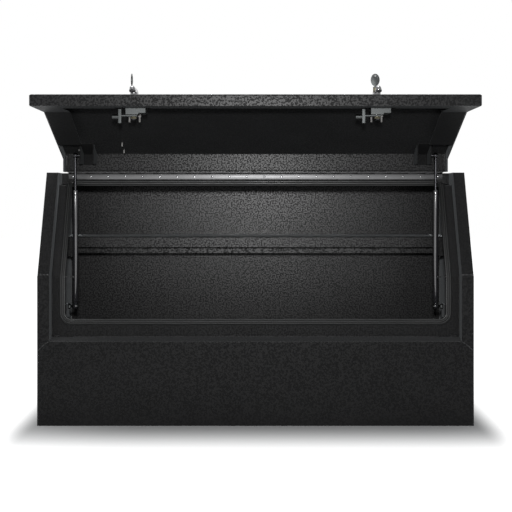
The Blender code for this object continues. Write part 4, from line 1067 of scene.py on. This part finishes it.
def build_cam(side):
    """The stamped cam with its finger, and the brass nut with its washer."""
    body = f"lock_spindle_{side}"
    node = f"lock_cam_{side}"
    dress(node, "stamped", softened(node, 0.0006), "bright_zinc", body, "zinc", flat=True)
    node = f"lock_nut_{side}"
    low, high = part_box(node)
    x, y = ((low + high) / 2).xy
    washer = 0.001
    form = hex_nut((x, y, high.z - washer), DOWN, 0.0078, high.z - low.z - washer)
    place_disc(form, (x, y, high.z - 0.0006), UP, 0.0094, washer, 32, 0.0002)
    dress(node, "cut", form, "satin_brass", body, "brass")


class BuildLocks(bpy.types.Operator):
    """Make the cam locks: cases, plates, bolts, turn handles, cams, nuts and cylinders"""

    bl_idname = "storage_box.locks"
    bl_label = "Cam locks"

    def execute(self, context):
        """Replace every node of both locks except the keys."""
        for side in SIDES:
            build_case(side)
            build_bolts(side)
            build_handle(side)
            build_cam(side)
            node = f"lock_cylinder_{side}"
            dress(node, "faced", softened(node, 0.0004), "satin_brass", node, "brass")
        return {"FINISHED"}


class BuildKeys(bpy.types.Operator):
    """Cut the keys: pierced bows with a raised border and toothed blades"""

    bl_idname = "storage_box.keys"
    bl_label = "Keys"

    def execute(self, context):
        """Replace both keys."""
        border = [(0.0085, 0.0002), (0.0085, 0.0006), (0.0079, 0.0007), (0.0074, 0.0006), (0.0074, 0.0002)]
        bow_drop, half_thick = 0.0165, 0.0011
        stretch = Matrix.Diagonal((1, 1.3, 1, 1))
        up = Vector(UP)
        for side in SIDES:
            node = f"key_{side}"
            low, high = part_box(node)
            centre = (low + high) / 2
            bow = Vector((centre.x, centre.y, high.z - bow_drop))
            broad = high.x - low.x > high.y - low.y
            thin = Vector((0, 1, 0)) if broad else Vector((1, 0, 0))
            form = softened(node, 0.0004)
            for out in (-thin, thin):
                stand = place_matrix(bow + out * half_thick, up.cross(out), up)
                join_form(form, spin_piece(border, stand @ stretch, 40))
            bmesh.ops.recalc_face_normals(form, faces=form.faces)
            dress(node, "cut", form, "bright_zinc", node, "stainless")
        return {"FINISHED"}


# Blank plate

# The tips on the left stay short: a strut's rod passes them as the lid shuts
TIP_LENGTHS = {-1: 0.0038, 1: 0.011}


def badge_tips():
    """Where the plate's four screws come through the lid, the way that they point and their lengths."""
    vertices = frame["nodes"]["badge_plate"].data.vertices
    shoulder = turned_with_lid(SHOULDER)
    slope = (turned_with_lid(KINK) - shoulder).normalized()
    inward = Vector((0, slope.z, -slope.y))
    if inward.z > 0:
        inward = -inward
    depths = [(vertex.co - shoulder).dot(inward) for vertex in vertices]
    deepest = max(depths)
    ends = [vertex.co for vertex, depth in zip(vertices, depths) if depth > deepest - MERGE]
    middle = sum(ends, Vector()) / len(ends)
    tips = []
    for across, length in TIP_LENGTHS.items():
        for along in (-1, 1):
            mine = [
                p for p in ends if (p.x - middle.x) * across > 0 and (p - middle).dot(slope) * along > 0
            ]
            tips.append((sum(mine, Vector()) / len(mine) - inward * 0.003, inward, length))
    return tips


class BuildBadge(bpy.types.Operator):
    """Make the blank plate on the lid with its domed screws and their threaded tips"""

    bl_idname = "storage_box.badge"
    bl_label = "Blank plate"

    def execute(self, context):
        """Replace the plate's node."""
        plate = softened("badge_plate", 0.0003)
        dress("badge_plate", "rounded", plate, "brushed_stainless", "lid", "stainless", flat=True)
        form = bmesh.new()
        for place, inward, length in badge_tips():
            shank = thread(0.0021, 0.0017, 0, length, 0.0007)
            join_form(form, spin_piece(shank, pointing(place, inward), 16))
        add_piece("badge_screw_tips", form, "bare_thread", "lid", "stainless")
        return {"FINISHED"}


# Stage

def add_lamp(name, place, target, size, power):
    """A square light that looks at a target and isn't seen by the camera."""
    lamp = bpy.data.lights.new(name, "AREA")
    lamp.energy = power
    lamp.size = size
    holder = bpy.data.objects.new(name, lamp)
    holder.matrix_world = pointing(place, Vector(place) - Vector(target))
    holder.visible_camera = False
    bpy.context.scene.collection.objects.link(holder)


def build_camera(scene, stage):
    """A level camera in front of the box, shifted so that horizon and middle lie where the settings say."""
    camera = bpy.data.cameras.new("camera")
    camera.lens = stage.focal_length
    camera.shift_x = (stage.frame_side / 2 - stage.middle_column) / stage.frame_side
    camera.shift_y = (stage.horizon_row - stage.frame_side / 2) / stage.frame_side
    holder = bpy.data.objects.new("camera", camera)
    place = Matrix.Translation((0, FRONT_Y - stage.camera_reach, stage.camera_height))
    holder.matrix_world = place @ Matrix.Rotation(math.pi / 2, 4, "X")
    scene.collection.objects.link(holder)
    scene.camera = holder
    scene.view_settings.view_transform = "Standard"


def build_world(scene, stage):
    """A white surround for the rays that show it, and a dimmer even light for the others."""
    world = scene.world or bpy.data.worlds.new("surround")
    scene.world = world
    world.use_nodes = True
    tree = world.node_tree
    tree.nodes.clear()
    seen = add_node(tree, "Background", {"Color": (1, 1, 1, 1)})
    lit = add_node(tree, "Background", {"Color": (0.93, 0.97, 1.0, 1), "Strength": stage.ambient})
    mix = add_node(tree, "MixShader", {0: shown_rays(tree), 1: lit.outputs[0], 2: seen.outputs[0]})
    add_node(tree, "OutputWorld", {"Surface": mix.outputs[0]})


class BuildStage(bpy.types.Operator):
    """Set the camera, the floor, the white surround and the lights"""

    bl_idname = "storage_box.stage"
    bl_label = "Camera and light"

    def execute(self, context):
        """Make the stage."""
        scene, stage = context.scene, settings()[2]
        build_camera(scene, stage)

        form = bmesh.new()
        bmesh.ops.create_grid(form, x_segments=8, y_segments=8, size=14)
        data = bpy.data.meshes.new("floor")
        form.to_mesh(data)
        form.free()
        data.materials.append(finish_named("studio_floor"))
        floor = bpy.data.objects.new("floor", data)
        scene.collection.objects.link(floor)

        build_world(scene, stage)
        key, aim = (0, -stage.key_reach, stage.key_height), (0, 0, stage.key_height - 0.1)
        add_lamp("key_light", key, aim, stage.key_size, stage.key_power)
        add_lamp("top_light", (-0.25, -0.45, 3.2), (0, -0.25, 0), 1.6, stage.top_power)
        return {"FINISHED"}


class StorageBoxPanel(bpy.types.Panel):
    """The add-on's panel"""

    bl_idname = "VIEW3D_PT_storage_box"
    bl_label = "Storage box"
    bl_space_type = "VIEW_3D"
    bl_region_type = "UI"
    bl_category = "Storage box"

    def draw(self, context):
        """List the operators and the settings."""
        layout = self.layout
        for operator in OPERATORS:
            layout.operator(operator.bl_idname)
        for group in settings():
            layout.separator()
            for name in group.bl_rna.properties.keys():
                if name not in ("rna_type", "name"):
                    layout.prop(group, name)


SETTINGS = {"box_finish": FinishSettings, "box_detail": DetailSettings, "box_stage": StageSettings}
OPERATORS = (
    BuildSheets, BuildWelds, BuildSeal, BuildHinge, BuildStruts, BuildLocks, BuildKeys, BuildBadge, BuildStage,
)


def register():
    """Add the settings, operators and panel."""
    for name, group in SETTINGS.items():
        bpy.utils.register_class(group)
        setattr(bpy.types.Scene, name, PointerProperty(type=group))
    for item in (*OPERATORS, StorageBoxPanel):
        bpy.utils.register_class(item)


def unregister():
    """Take the panel, operators and settings away."""
    for item in (StorageBoxPanel, *OPERATORS[::-1]):
        bpy.utils.unregister_class(item)
    for name, group in SETTINGS.items():
        delattr(bpy.types.Scene, name)
        bpy.utils.unregister_class(group)


def main():
    """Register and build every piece."""
    register()
    build = bpy.ops.storage_box
    build.sheets()
    build.welds()
    build.seal()
    build.hinge()
    build.struts()
    build.locks()
    build.keys()
    build.badge()
    build.stage()


if __name__ == "__main__":
    main()
